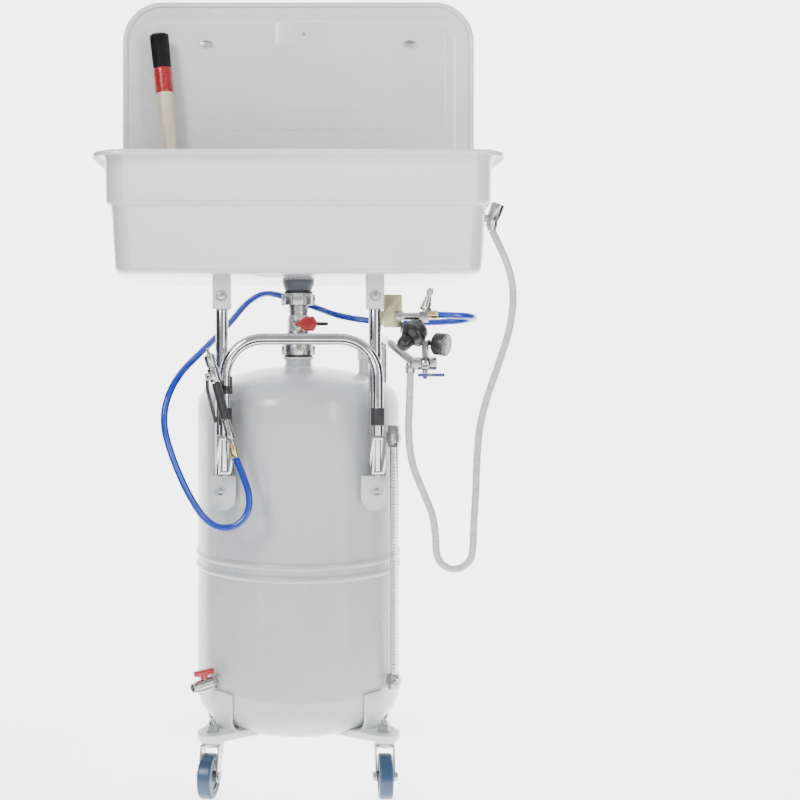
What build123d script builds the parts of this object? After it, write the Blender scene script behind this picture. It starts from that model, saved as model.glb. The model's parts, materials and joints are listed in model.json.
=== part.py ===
from build123d import *
from math import atan, cos, degrees, radians, sin, sqrt, tan
import os

# Parts washer: a pressure tank on wheels that carries a wash basin on two posts.
# Millimetres. While it is drawn, the tank's axis is X = Y = 0 and the floor is Z = 0,
# with X to the right, Y to the back and Z up. Every piece is moved to the centre of
# the footprint when it is written.

# ---- driving dimensions ----
TANK_RADIUS = 190
TANK_WALL = 2.5
CROWN_RADIUS = 450
KNUCKLE_RADIUS = 50
TANK_LOW = 70
TANK_HIGH = 750
BEAD_HEIGHTS = (381, 403)
WELD_GAP = 0.2

REAR_WHEEL_RADIUS = 80
REAR_WHEEL_WIDTH = 40
REAR_WHEEL_X = 167
REAR_AXLE_Y = 257
REAR_AXLE_RADIUS = 8
REAR_BRACKET_X = 118

LEG_AZIMUTH = 44
STEM_RADIUS_POSITION = 218
FOOT_LOW = 97
FOOT_TOP = 109
CASTER_WHEEL_RADIUS = 38
CASTER_WHEEL_WIDTH = 24
CASTER_TRAIL = 22
CASTER_YAW = {"left": 12, "right": 0}

POST_X = 135
POST_Y = -155
POST_RADIUS = 11
LUG_LOW = 500
LUG_TOP = 560

HANDLE_RADIUS = 10
HANDLE_HALF_WIDTH = 133
HANDLE_SHIFT_X = 5
HANDLE_Y = -181
HANDLE_TOP = 800
HANDLE_BEND = 66
HANDLE_LOW = 562

BASIN_Y = -2
BASIN_WALL = 2
BASIN_FLOOR = 912
BASIN_STEP = 1028
BASIN_STEP_HEIGHT = 8
BASIN_RIM = 1120
RIM_WIDTH = 712
RIM_DEPTH = 500
RIM_LIP = 9

SPLASH_HALF_WIDTH = 370
SPLASH_LOW = 1095
SPLASH_TOP = 1512
SPLASH_CORNER = 84
SPLASH_Y = BASIN_Y + RIM_DEPTH / 2 + 0.5

BLUE_HOSE_DIAMETER = 12
CLEAR_HOSE_DIAMETER = 13

FOOTPRINT_CENTRE_Y = (REAR_AXLE_Y + REAR_WHEEL_RADIUS + BASIN_Y - RIM_DEPTH / 2) / 2

SIDES = {"left": -1, "right": 1}
STANDING = (Align.CENTER, Align.CENTER, Align.MIN)


# ---- helpers ----
def radial_plane(azimuth, height=0.0):
    """Plane on the tank's axis: local X points away from the axis, azimuth degrees right of the front."""
    direction = (sin(radians(azimuth)), -cos(radians(azimuth)), 0)
    return Plane(origin=(0, 0, height), x_dir=direction, z_dir=(0, 0, 1))


def axis_plane(start, end):
    """Plane at start whose local Z points to end, for pieces turned about that line."""
    start, end = Vector(*start), Vector(*end)
    return Plane(origin=start, z_dir=end - start)


def turned(outline, bore=0.0):
    """Revolve (distance along the axis, radius) steps about the plane's local Z, with a round bore."""
    heights = [step[0] for step in outline]
    low, high = min(heights), max(heights)
    for (z_low, radius_low), (z_high, radius_high) in zip(outline, outline[1:]):
        if z_high - z_low < 0.01:
            continue
        with Locations((0, 0, z_low)):
            if abs(radius_low - radius_high) < 0.01:
                Cylinder(radius_low, z_high - z_low, align=STANDING)
            else:
                Cone(radius_low, radius_high, z_high - z_low, align=STANDING)
    if bore:
        with Locations((0, 0, low - 1)):
            Cylinder(
                bore,
                high - low + 2,
                align=STANDING,
                mode=Mode.SUBTRACT,
            )


def hexagon_bar(across_flats, low, high):
    """Hexagonal length along Z."""
    with BuildSketch(Plane.XY.offset(low)) as hexagon:
        RegularPolygon(across_flats / 2, 6, major_radius=False)
    extrude(hexagon.sketch, amount=high - low)


def tank_solid(radius, crown, knuckle, low, high, bead):
    """Cylinder with torispherical ends and two raised beads, revolved about Z."""
    bend = degrees(atan((radius - knuckle) / sqrt((crown - knuckle) ** 2 - (radius - knuckle) ** 2)))
    with BuildSketch(Plane.XZ) as half_section:
        with BuildLine():
            top_crown = JernArc((0, high), (1, 0), crown, -bend)
            top_knuckle = JernArc(top_crown @ 1, top_crown % 1, knuckle, bend - 90)
            low_crown = JernArc((0, low), (1, 0), crown, bend)
            low_knuckle = JernArc(low_crown @ 1, low_crown % 1, knuckle, 90 - bend)
            Line(top_knuckle @ 1, low_knuckle @ 1)
            Line((0, low), (0, high))
        make_face()
        with Locations(*[(radius - 5, z) for z in BEAD_HEIGHTS]):
            Circle(bead)
    revolve(half_section.sketch, axis=Axis.Z)


# ---- tank ----
with BuildPart() as tank_envelope:
    tank_solid(
        TANK_RADIUS + WELD_GAP,
        CROWN_RADIUS + WELD_GAP,
        KNUCKLE_RADIUS + WELD_GAP,
        TANK_LOW - WELD_GAP,
        TANK_HIGH + WELD_GAP,
        8,
    )

with BuildPart() as tank_hollow:
    tank_solid(
        TANK_RADIUS - TANK_WALL,
        CROWN_RADIUS - TANK_WALL,
        KNUCKLE_RADIUS - TANK_WALL,
        TANK_LOW + TANK_WALL,
        TANK_HIGH - TANK_WALL,
        5.5,
    )

NECK_RADIUS = 25
NECK_BORE = 20
NECK_TOP = 767
FILLER_X, FILLER_Y = 128, 20
FILLER_RADIUS = 13
FILLER_BORE = 9
FILLER_TOP = 762
RISER_X, RISER_Y = 162, 30
RISER_RADIUS = 8
RISER_TOP = 783
GAUGE_AZIMUTH = 57
GAUGE_RADIUS_POSITION = 205
GAUGE_LOW_BOSS = 186
GAUGE_HIGH_BOSS = 622
TAP_AZIMUTH = -50
TAP_HEIGHT = 188
BOSS_RADIUS = 10
BOSS_LENGTH = 11.8

with BuildPart() as tank_shell:
    tank_solid(TANK_RADIUS, CROWN_RADIUS, KNUCKLE_RADIUS, TANK_LOW, TANK_HIGH, 8)
    add(tank_hollow.part, mode=Mode.SUBTRACT)
    with Locations((0, 0, TANK_HIGH)):
        Cylinder(NECK_RADIUS + WELD_GAP, 60, mode=Mode.SUBTRACT)
    with Locations((FILLER_X, FILLER_Y, TANK_HIGH - 30)):
        Cylinder(FILLER_RADIUS + WELD_GAP, 60, mode=Mode.SUBTRACT)
    with Locations((RISER_X, RISER_Y, TANK_HIGH - 30)):
        Cylinder(RISER_RADIUS + WELD_GAP, 120, mode=Mode.SUBTRACT)
    for azimuth, height in (
        (GAUGE_AZIMUTH, GAUGE_LOW_BOSS),
        (GAUGE_AZIMUTH, GAUGE_HIGH_BOSS),
        (TAP_AZIMUTH, TAP_HEIGHT),
    ):
        with BuildSketch(Plane(radial_plane(azimuth, height).origin, z_dir=radial_plane(azimuth).x_dir)):
            Circle(BOSS_RADIUS + WELD_GAP)
        extrude(amount=TANK_RADIUS + 20, mode=Mode.SUBTRACT)

with BuildPart() as tank_ports:
    turned([(738, NECK_RADIUS), (NECK_TOP - 5, NECK_RADIUS)])
    with Locations((0, 0, NECK_TOP - 2.5)):
        Cylinder(29, 5)
        Cylinder(NECK_BORE, 80, mode=Mode.SUBTRACT)
    with Locations((FILLER_X, FILLER_Y, 700)):
        Cylinder(FILLER_RADIUS, FILLER_TOP - 700, align=STANDING)
        Cylinder(FILLER_BORE, 80, align=STANDING, mode=Mode.SUBTRACT)

    for azimuth, height in (
        (GAUGE_AZIMUTH, GAUGE_LOW_BOSS),
        (GAUGE_AZIMUTH, GAUGE_HIGH_BOSS),
        (TAP_AZIMUTH, TAP_HEIGHT),
    ):
        with BuildSketch(
            Plane(
                radial_plane(azimuth, height).origin,
                z_dir=radial_plane(azimuth).x_dir,
            ).offset(TANK_RADIUS - 8)
        ):
            Circle(BOSS_RADIUS)
            Circle(5, mode=Mode.SUBTRACT)
        extrude(amount=BOSS_LENGTH)

with BuildPart() as dip_tube:
    with Locations((RISER_X, RISER_Y, 128)):
        Cylinder(RISER_RADIUS, RISER_TOP - 128, align=STANDING)
        Cylinder(RISER_RADIUS - 1.5, RISER_TOP - 127, align=STANDING, mode=Mode.SUBTRACT)

with BuildPart() as filler_cap:
    with Locations((FILLER_X, FILLER_Y, FILLER_TOP + 0.3)):
        Cylinder(14.5, 20, align=STANDING)
    fillet(filler_cap.edges().group_by(Axis.Z)[-1], radius=3)
    with Locations((FILLER_X, FILLER_Y, FILLER_TOP - 6)):
        Cylinder(FILLER_BORE - 0.05, 6.5, align=STANDING)

# ---- sight gauge ----
gauge_plane = radial_plane(GAUGE_AZIMUTH)
gauge_axis = gauge_plane.from_local_coords((GAUGE_RADIUS_POSITION, 0, 0))
GAUGE_TUBE_LOW, GAUGE_TUBE_HIGH = 197, 606

with BuildPart() as sight_gauge_fittings:
    for height, low, high in (
        (GAUGE_LOW_BOSS, 170, GAUGE_TUBE_LOW),
        (GAUGE_HIGH_BOSS, GAUGE_TUBE_HIGH, 645),
    ):
        with BuildSketch(Plane((gauge_axis.X, gauge_axis.Y, low))):
            RegularPolygon(9.5, 6, major_radius=False)
        extrude(amount=high - low)
        with BuildSketch(Plane((0, 0, height), z_dir=gauge_plane.x_dir).offset(TANK_RADIUS + 4)):
            Circle(8)
        extrude(amount=22)

with BuildPart() as sight_gauge_tube:
    with Locations((gauge_axis.X, gauge_axis.Y, GAUGE_TUBE_LOW)):
        tube_height = GAUGE_TUBE_HIGH - GAUGE_TUBE_LOW
        Cylinder(7, tube_height, align=STANDING)
        Cylinder(5.2, tube_height, align=STANDING, mode=Mode.SUBTRACT)

# ---- tank drain tap ----
tap_start = radial_plane(TAP_AZIMUTH, TAP_HEIGHT).from_local_coords((TANK_RADIUS + 5.2, 0, 0))
tap_end = radial_plane(TAP_AZIMUTH, TAP_HEIGHT - 4).from_local_coords((TANK_RADIUS + 56, 0, 0))
tap_plane = axis_plane(tap_start, tap_end)
TAP_STEM = 24

with BuildPart() as tap_barrel:
    hexagon_bar(22, 0, 10)
    turned([(10, 10.5), (38, 10.5), (44, 8.5), (48, 8.5)])
    with Locations((0, 0, 34)):
        Cylinder(6.5, 40, align=STANDING, mode=Mode.SUBTRACT)

tap_pivot = tap_plane.from_local_coords((0, 0, TAP_STEM))
with BuildPart() as tap_body:
    add(tap_plane.location * tap_barrel.part)
    with Locations(tap_pivot):
        Cylinder(5, 11.3, align=STANDING)
with BuildPart() as tap_lever:
    with BuildSketch(Plane((tap_pivot.X, tap_pivot.Y, tap_pivot.Z + 11.6))):
        Circle(6.5)
    extrude(amount=6)
    with BuildSketch(
        Plane(
            (tap_pivot.X, tap_pivot.Y, tap_pivot.Z + 17.6),
            x_dir=radial_plane(TAP_AZIMUTH).x_dir,
            z_dir=(0, 0, 1),
        )
    ):
        SlotOverall(42, 12)
    extrude(amount=9)
    fillet(tap_lever.edges().group_by(Axis.Z)[-1], radius=2.5)

# ---- front legs and casters ----
front_legs = {}
caster_heads = {}
caster_forks = {}
caster_hubs = {}
caster_treads = {}
FORK_INNER = 14.6
FORK_SHEET = 2.5
AXLE_RADIUS = 4
for side, sign in SIDES.items():
    leg_plane = radial_plane(sign * LEG_AZIMUTH)
    with BuildPart() as front_leg:
        with BuildSketch(Plane.XY.offset(FOOT_LOW)):
            with Locations((STEM_RADIUS_POSITION, 0)):
                Circle(27)
            with Locations((143, 0)):
                Rectangle(6, 96)
            make_hull()
        extrude(amount=FOOT_TOP - FOOT_LOW)
        fillet(front_leg.edges().filter_by(GeomType.LINE).group_by(Axis.Z)[-1], radius=2)
        with BuildSketch(Plane.XY.offset(FOOT_LOW)):
            with Locations((STEM_RADIUS_POSITION, 0)):
                Circle(23)
            with Locations((145, 0)):
                Rectangle(4, 86)
            make_hull()
        extrude(amount=FOOT_TOP - FOOT_LOW - 5, mode=Mode.SUBTRACT)
        with Locations((STEM_RADIUS_POSITION, 0, FOOT_TOP)):
            Cylinder(6.2, 30, mode=Mode.SUBTRACT)
        with BuildSketch(Plane.YZ.offset(TANK_RADIUS + 0.5)) as tab:
            with Locations((0, (FOOT_TOP + 171) / 2)):
                Rectangle(46, 173 - FOOT_TOP)
            with Locations((0, FOOT_TOP + 1)):
                Rectangle(76, 4)
            inner_corners = tab.vertices().filter_by(
                lambda v: abs(abs(v.X) - 23) < 0.1 and abs(v.Y - FOOT_TOP - 3) < 0.1
            )
            fillet(inner_corners, radius=14)
        extrude(amount=5)
        add(leg_plane.location.inverse() * tank_envelope.part, mode=Mode.SUBTRACT)
    front_legs[side] = leg_plane.location * front_leg.part

    stem = leg_plane.from_local_coords((STEM_RADIUS_POSITION, 0, 0))
    with BuildPart() as caster_head:
        turned([(92, 20), (FOOT_LOW + 7, 20)])
        turned([(FOOT_LOW + 7, 6), (128, 6)])
        turned([(FOOT_TOP, 11.5), (FOOT_TOP + 2, 11.5)])
        hexagon_bar(19, FOOT_TOP + 2, FOOT_TOP + 12)
    caster_heads[side] = Plane((stem.X, stem.Y, 0)).location * caster_head.part

    yaw = radians(CASTER_YAW[side])
    fork_plane = Plane((stem.X, stem.Y, 0), x_dir=(-sin(yaw), -cos(yaw), 0), z_dir=(0, 0, 1))
    with BuildPart() as caster_fork:
        for face in (-FORK_INNER - FORK_SHEET, FORK_INNER):
            with BuildSketch(Plane.XZ.offset(-face - FORK_SHEET)):
                with Locations((CASTER_TRAIL, CASTER_WHEEL_RADIUS)):
                    Circle(10)
                with Locations((0, 84.5)):
                    Rectangle(34, 4)
                make_hull()
                with Locations((CASTER_TRAIL, CASTER_WHEEL_RADIUS)):
                    Circle(AXLE_RADIUS + 0.1, mode=Mode.SUBTRACT)
            extrude(amount=FORK_SHEET)
        with Locations((0, 0, 85)):
            Box(34, 2 * (FORK_INNER + FORK_SHEET), 3, align=STANDING)
            Cylinder(18.5, 6.7, align=STANDING)
        with BuildSketch(Plane.XZ.offset(-22)):
            with Locations((CASTER_TRAIL, CASTER_WHEEL_RADIUS)):
                Circle(AXLE_RADIUS)
        extrude(amount=44)
        for face in (-22, FORK_INNER + FORK_SHEET + 0.1):
            with BuildSketch(Plane.XZ.offset(-face - 4.7)):
                with Locations((CASTER_TRAIL, CASTER_WHEEL_RADIUS)):
                    RegularPolygon(6.5, 6, major_radius=False)
            extrude(amount=4.7)
    caster_forks[side] = fork_plane.location * caster_fork.part

    wheel_centre = fork_plane.from_local_coords((CASTER_TRAIL, 0, CASTER_WHEEL_RADIUS))
    wheel_plane = Plane(wheel_centre, x_dir=(0, 0, 1), z_dir=fork_plane.y_dir)
    with BuildPart(wheel_plane) as caster_tread:
        Cylinder(CASTER_WHEEL_RADIUS, CASTER_WHEEL_WIDTH)
        fillet(caster_tread.edges(), radius=4)
        Cylinder(27.5, 40, mode=Mode.SUBTRACT)
    caster_treads[side] = caster_tread
    with BuildPart(wheel_plane) as caster_hub:
        Cylinder(27.4, CASTER_WHEEL_WIDTH - 2)
        for face in (-1, 1):
            with Locations((0, 0, face * CASTER_WHEEL_WIDTH / 2)):
                Cylinder(22, 8, mode=Mode.SUBTRACT)
        Cylinder(9, 2 * FORK_INNER - 0.6)
        Cylinder(AXLE_RADIUS + 0.06, 60, mode=Mode.SUBTRACT)
    caster_hubs[side] = caster_hub

# ---- rear axle, brackets and wheels ----
with BuildPart() as rear_brackets:
    for sign in SIDES.values():
        with BuildSketch(Plane.YZ.offset(sign * REAR_BRACKET_X - 2.5)):
            with Locations((REAR_AXLE_Y, REAR_WHEEL_RADIUS)):
                Circle(20)
            with Locations((146, 150)):
                Rectangle(12, 120)
            make_hull()
            with Locations((REAR_AXLE_Y, REAR_WHEEL_RADIUS)):
                Circle(REAR_AXLE_RADIUS + 0.1, mode=Mode.SUBTRACT)
        extrude(amount=5)
    add(tank_envelope.part, mode=Mode.SUBTRACT)

with BuildPart(Plane((0, REAR_AXLE_Y, REAR_WHEEL_RADIUS), x_dir=(0, 1, 0), z_dir=(1, 0, 0))) as rear_axle:
    Cylinder(REAR_AXLE_RADIUS, 2 * (REAR_WHEEL_X + REAR_WHEEL_WIDTH / 2 + 12))
    for sign in SIDES.values():
        with Locations((0, 0, sign * (REAR_WHEEL_X + REAR_WHEEL_WIDTH / 2 + 7.5))):
            Cylinder(12.5, 8)
        with Locations((0, 0, sign * (REAR_BRACKET_X + 14))):
            Cylinder(11, 22)

rear_tyres = {}
rear_hubs = {}
for side, sign in SIDES.items():
    wheel_plane = Plane(
        (sign * REAR_WHEEL_X, REAR_AXLE_Y, REAR_WHEEL_RADIUS), x_dir=(0, 1, 0), z_dir=(sign, 0, 0)
    )
    with BuildPart(wheel_plane) as rear_tyre:
        Cylinder(REAR_WHEEL_RADIUS, REAR_WHEEL_WIDTH)
        fillet(rear_tyre.edges(), radius=9)
        Cylinder(52, 60, mode=Mode.SUBTRACT)
    rear_tyres[side] = rear_tyre
    with BuildPart(wheel_plane) as rear_hub:
        Cylinder(51.8, 30)
        for face in (-1, 1):
            with Locations((0, 0, face * 15)):
                Cylinder(43, 20, mode=Mode.SUBTRACT)
        Cylinder(17, REAR_WHEEL_WIDTH + 4)
        with PolarLocations(30, 5):
            Cylinder(6.5, 20, mode=Mode.SUBTRACT)
        Cylinder(REAR_AXLE_RADIUS + 0.06, 60, mode=Mode.SUBTRACT)
    rear_hubs[side] = rear_hub

# ---- lugs, posts and sleeves ----
SLEEVE_LOW = 853
SLEEVE_SIZE = 32
lugs = {}
posts = {}
for side, sign in SIDES.items():
    with BuildPart() as post_lug:
        with BuildSketch(Plane.XZ.offset(171)):
            with Locations((sign * (POST_X - 3), (LUG_LOW + 22 + LUG_TOP) / 2)):
                Rectangle(44, LUG_TOP - LUG_LOW - 22)
            with Locations((sign * (POST_X - 3), LUG_LOW + 22)):
                Circle(22)
        extrude(amount=-60)
        add(tank_envelope.part, mode=Mode.SUBTRACT)
        with Locations((sign * POST_X, POST_Y, LUG_LOW + 35)):
            Cylinder(POST_RADIUS + 0.1, 200, align=STANDING, mode=Mode.SUBTRACT)
    lugs[side] = post_lug
    with BuildPart() as post:
        with Locations((sign * POST_X, POST_Y, LUG_LOW + 35)):
            post_length = BASIN_FLOOR - 6 - LUG_LOW - 35
            Cylinder(POST_RADIUS, post_length, align=STANDING)
            Cylinder(
                POST_RADIUS - 1.8,
                post_length,
                align=STANDING,
                mode=Mode.SUBTRACT,
            )
    posts[side] = post

with BuildPart() as post_sleeves:
    for sign in SIDES.values():
        with BuildSketch(Plane((sign * POST_X, POST_Y, SLEEVE_LOW))):
            RectangleRounded(SLEEVE_SIZE, SLEEVE_SIZE, 5)
            Circle(POST_RADIUS + 0.1, mode=Mode.SUBTRACT)
        extrude(amount=BASIN_FLOOR - SLEEVE_LOW)

with BuildPart() as frame_bolts:
    for sign in SIDES.values():
        for x, y, z in (
            (sign * (POST_X + 2), -171, 533),
            (sign * POST_X, POST_Y - SLEEVE_SIZE / 2, 876),
            (sign * 250, SPLASH_Y + 2 + 5, 1107),
        ):
            with BuildSketch(Plane((x, y, z), x_dir=(1, 0, 0), z_dir=(0, -1, 0))):
                RegularPolygon(6.5, 6, major_radius=False)
            extrude(amount=5)
    for x, z in ((-195, 1425), (235, 1425)):
        with BuildSketch(Plane((x, SPLASH_Y + 3, z), x_dir=(1, 0, 0), z_dir=(0, -1, 0))):
            Circle(8)
        extrude(amount=3)
        with BuildSketch(Plane((x, SPLASH_Y, z), x_dir=(1, 0, 0), z_dir=(0, -1, 0))):
            SlotOverall(26, 11)
        extrude(amount=3.5)

# ---- pull handle ----
with BuildPart() as pull_handle:
    left = HANDLE_SHIFT_X - HANDLE_HALF_WIDTH
    right = HANDLE_SHIFT_X + HANDLE_HALF_WIDTH
    with BuildLine() as handle_path:
        FilletPolyline(
            (left, HANDLE_Y, HANDLE_LOW),
            (left, HANDLE_Y, HANDLE_TOP),
            (right, HANDLE_Y, HANDLE_TOP),
            (right, HANDLE_Y, HANDLE_LOW),
            radius=HANDLE_BEND,
        )
    with BuildSketch(Plane((left, HANDLE_Y, HANDLE_LOW))):
        Circle(HANDLE_RADIUS)
        Circle(HANDLE_RADIUS - 1.6, mode=Mode.SUBTRACT)
    sweep(path=handle_path.line)

with BuildPart() as handle_brackets:
    for sign in SIDES.values():
        x = HANDLE_SHIFT_X + sign * HANDLE_HALF_WIDTH
        with Locations((x, (HANDLE_Y - 12 + POST_Y) / 2, HANDLE_LOW + 36)):
            Box(27, POST_Y - HANDLE_Y + 12, 70)
        with Locations((x, HANDLE_Y, HANDLE_LOW + 40)):
            Cylinder(HANDLE_RADIUS + 0.1, 100, mode=Mode.SUBTRACT)
        with Locations((sign * POST_X, POST_Y, HANDLE_LOW + 40)):
            Cylinder(POST_RADIUS + 0.1, 100, mode=Mode.SUBTRACT)
        with Locations((x, HANDLE_Y - 12, HANDLE_LOW + 36)):
            Box(11, 30, 54, mode=Mode.SUBTRACT)

with BuildPart() as handle_collars:
    for sign in SIDES.values():
        with Locations((HANDLE_SHIFT_X + sign * HANDLE_HALF_WIDTH, HANDLE_Y, 665)):
            Cylinder(HANDLE_RADIUS + 2, 30)
            Cylinder(HANDLE_RADIUS + 0.1, 40, mode=Mode.SUBTRACT)


# ---- basin ----
def basin_form(inset, floor, step, top):
    """Solid of the tapered basin, stepped outwards once, drawn in by inset all round."""
    sections = (
        (floor, 640, 428, 40),
        (step, 652, 440, 42),
        (step + BASIN_STEP_HEIGHT, 670, 458, 48),
        (top, 672, 460, 48),
    )
    outlines = []
    for height, width, depth, corner in sections:
        with BuildSketch(Plane((0, BASIN_Y, height))) as outline:
            RectangleRounded(width - 2 * inset, depth - 2 * inset, corner - inset)
        outlines.append(outline.sketch.face())
    loft(outlines, ruled=True)


with BuildPart() as basin_body:
    basin_form(0, BASIN_FLOOR, BASIN_STEP, BASIN_RIM - 1)
    fillet(basin_body.edges().group_by(Axis.Z)[0], radius=13)

with BuildPart() as basin_hollow:
    basin_form(BASIN_WALL, BASIN_FLOOR + BASIN_WALL, BASIN_STEP + BASIN_WALL, BASIN_RIM + 2)
    fillet(basin_hollow.edges().group_by(Axis.Z)[0], radius=11)

DRAIN_HOLE_RADIUS = 24
COUPLER_Y = -145
COUPLER_HEIGHT = 1014
with BuildPart() as basin:
    add(basin_body.part)
    with BuildSketch(Plane((0, BASIN_Y, BASIN_RIM - RIM_LIP))):
        RectangleRounded(RIM_WIDTH, RIM_DEPTH, 58)
    extrude(amount=RIM_LIP)
    fillet(basin.edges().group_by(Axis.Z)[-1], radius=4)
    with BuildSketch(Plane((0, BASIN_Y, BASIN_RIM - RIM_LIP))):
        RectangleRounded(RIM_WIDTH - 4, RIM_DEPTH - 4, 56)
        RectangleRounded(672, 460, 48, mode=Mode.SUBTRACT)
    extrude(amount=RIM_LIP - 2, mode=Mode.SUBTRACT)
    add(basin_hollow.part, mode=Mode.SUBTRACT)
    with Locations((0, 0, BASIN_FLOOR)):
        Cylinder(DRAIN_HOLE_RADIUS, 20, mode=Mode.SUBTRACT)
    with BuildSketch(Plane((300, COUPLER_Y, COUPLER_HEIGHT), z_dir=(1, 0, 0))):
        Circle(7.2)
    extrude(amount=60, mode=Mode.SUBTRACT)

# The pressing is held as a bowl up to the ledge and the wall with its rim above it.
BASIN_SPLIT = BASIN_STEP + BASIN_STEP_HEIGHT + BASIN_WALL
above_split = Location((0, BASIN_Y, BASIN_SPLIT)) * Box(1000, 1000, 400, align=STANDING)
basin_bowl_part = basin.part - above_split
basin_wall_part = basin.part & above_split

GRID_LEVEL = 1034.6
GRID_THICKNESS = 1.5
with BuildPart() as work_grid:
    with BuildSketch(Plane((0, BASIN_Y, GRID_LEVEL))):
        RectangleRounded(655, 443, 42)
        with GridLocations(56, 52, 11, 8):
            Circle(9, mode=Mode.SUBTRACT)
    extrude(amount=GRID_THICKNESS)

with BuildPart() as drain_strainer:
    with Locations((0, 0, BASIN_FLOOR - 8)):
        Cylinder(DRAIN_HOLE_RADIUS - 1, 10, align=STANDING)
    with Locations((0, 0, BASIN_FLOOR + BASIN_WALL)):
        Cylinder(31, 2, align=STANDING)
    with Locations((0, 0, BASIN_FLOOR - 9)):
        Cylinder(DRAIN_HOLE_RADIUS - 2.5, 11, align=STANDING, mode=Mode.SUBTRACT)
        with PolarLocations(14, 8):
            Cylinder(3.5, 40, mode=Mode.SUBTRACT)

# ---- splash guard ----
def arched_outline(half_width, low, top, corner):
    """Upright outline with square lower corners and round upper ones."""
    with BuildSketch(mode=Mode.PRIVATE) as outline:
        with BuildLine():
            left_side = Line((-half_width, low), (-half_width, top - corner))
            left_corner = RadiusArc(left_side @ 1, (corner - half_width, top), corner)
            top_side = Line(left_corner @ 1, (half_width - corner, top))
            right_corner = RadiusArc(top_side @ 1, (half_width, top - corner), corner)
            right_side = Line(right_corner @ 1, (half_width, low))
            Line(right_side @ 1, left_side @ 0)
        make_face()
    return outline.sketch


SPLASH_EDGE = 10
SPLASH_SHEET = 2
PANEL_MARGIN = 38
PANEL_LOW = 1140
PANEL_DEPTH = 3
with BuildPart() as backsplash:
    with BuildSketch(Plane.XZ.offset(-SPLASH_Y - SPLASH_SHEET)):
        add(arched_outline(SPLASH_HALF_WIDTH, SPLASH_LOW, SPLASH_TOP, SPLASH_CORNER))
    extrude(amount=SPLASH_SHEET)
    with BuildSketch(Plane.XZ.offset(-SPLASH_Y - SPLASH_SHEET)):
        add(arched_outline(SPLASH_HALF_WIDTH, BASIN_RIM + 0.5, SPLASH_TOP, SPLASH_CORNER))
        inner_corner = SPLASH_CORNER - SPLASH_EDGE
        add(
            arched_outline(
                SPLASH_HALF_WIDTH - SPLASH_EDGE, BASIN_RIM, SPLASH_TOP - SPLASH_EDGE, inner_corner
            ),
            mode=Mode.SUBTRACT,
        )
    extrude(amount=SPLASH_EDGE)
    for inset, back, mode in (
        (0, SPLASH_SHEET + PANEL_DEPTH, Mode.ADD),
        (SPLASH_SHEET, PANEL_DEPTH, Mode.SUBTRACT),
    ):
        margin = PANEL_MARGIN + inset
        with BuildSketch(Plane.XZ.offset(-SPLASH_Y - back)):
            add(
                arched_outline(
                    SPLASH_HALF_WIDTH - margin,
                    PANEL_LOW + inset,
                    SPLASH_TOP - margin,
                    SPLASH_CORNER - margin,
                )
            )
        extrude(amount=PANEL_DEPTH, mode=mode)

# ---- drain column between basin and tank ----
GASKET = 4
NUT_RADIUS = 32
VALVE_LOW = 790
VALVE_HIGH = 865
with BuildPart() as drain_socket:
    socket_low = VALVE_HIGH + 22 + GASKET
    turned([(socket_low, 24), (socket_low + 15, 30), (BASIN_FLOOR - 0.1, 30)], bore=18)
    with Locations((0, 0, BASIN_FLOOR - 9)):
        Cylinder(DRAIN_HOLE_RADIUS - 0.8, 20, align=STANDING, mode=Mode.SUBTRACT)

with BuildPart() as union_gaskets:
    for low in (NECK_TOP, VALVE_HIGH + 22):
        with Locations((0, 0, low)):
            Cylinder(27, GASKET, align=STANDING)
            Cylinder(NECK_BORE, 30, mode=Mode.SUBTRACT)

with BuildPart() as union_nuts:
    for low, high in ((NECK_TOP + GASKET, VALVE_LOW), (VALVE_HIGH, VALVE_HIGH + 22)):
        with Locations((0, 0, low)):
            Cylinder(NUT_RADIUS - 3, high - low, align=STANDING)
            with PolarLocations(NUT_RADIUS - 4, 6):
                Box(8, 11, high - low - 2, align=STANDING)
            Cylinder(NECK_BORE, 80, mode=Mode.SUBTRACT)

BALL_RADIUS = 17
BALL_Z = 829
with BuildPart() as drain_valve_body:
    turned(
        [
            (VALVE_LOW, 19),
            (806, 19),
            (806, 22),
            (814, 22),
            (814, 21),
            (842, 21),
            (842, 19.5),
            (846, 19.5),
            (846, 17.5),
            (VALVE_HIGH, 19),
        ],
        bore=13,
    )
    with BuildSketch(Plane((0, 0, BALL_Z), z_dir=(0, -1, 0))):
        Circle(9)
    extrude(amount=30)
    with Locations((0, 0, BALL_Z)):
        Sphere(BALL_RADIUS + 0.3, mode=Mode.SUBTRACT)
    with BuildSketch(Plane((0, 0, BALL_Z), z_dir=(0, -1, 0))):
        Circle(4.05)
    extrude(amount=60, mode=Mode.SUBTRACT)

with BuildPart() as drain_valve_ball:
    with Locations((0, 0, BALL_Z)):
        Sphere(BALL_RADIUS)
    with BuildSketch(Plane((0, 0, BALL_Z), z_dir=(0, -1, 0))):
        Circle(4)
    extrude(amount=38)
    with Locations((0, 0, BALL_Z)):
        Cylinder(10, 60, mode=Mode.SUBTRACT)

KNOB_X = 21
with BuildPart() as drain_valve_knob:
    with BuildSketch(Plane((0, -38.1, BALL_Z), x_dir=(1, 0, 0), z_dir=(0, -1, 0))) as knob_outline:
        Circle(9)
        with Locations((KNOB_X, 0)):
            RegularPolygon(15.5, 6)
        make_hull()
        fillet(knob_outline.vertices().group_by(Axis.X)[-1], radius=4)
    extrude(amount=14)
    with BuildSketch(Plane((KNOB_X, -45.1, BALL_Z), z_dir=(1, 0, 0))):
        Circle(3.5)
    extrude(amount=35)

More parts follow.
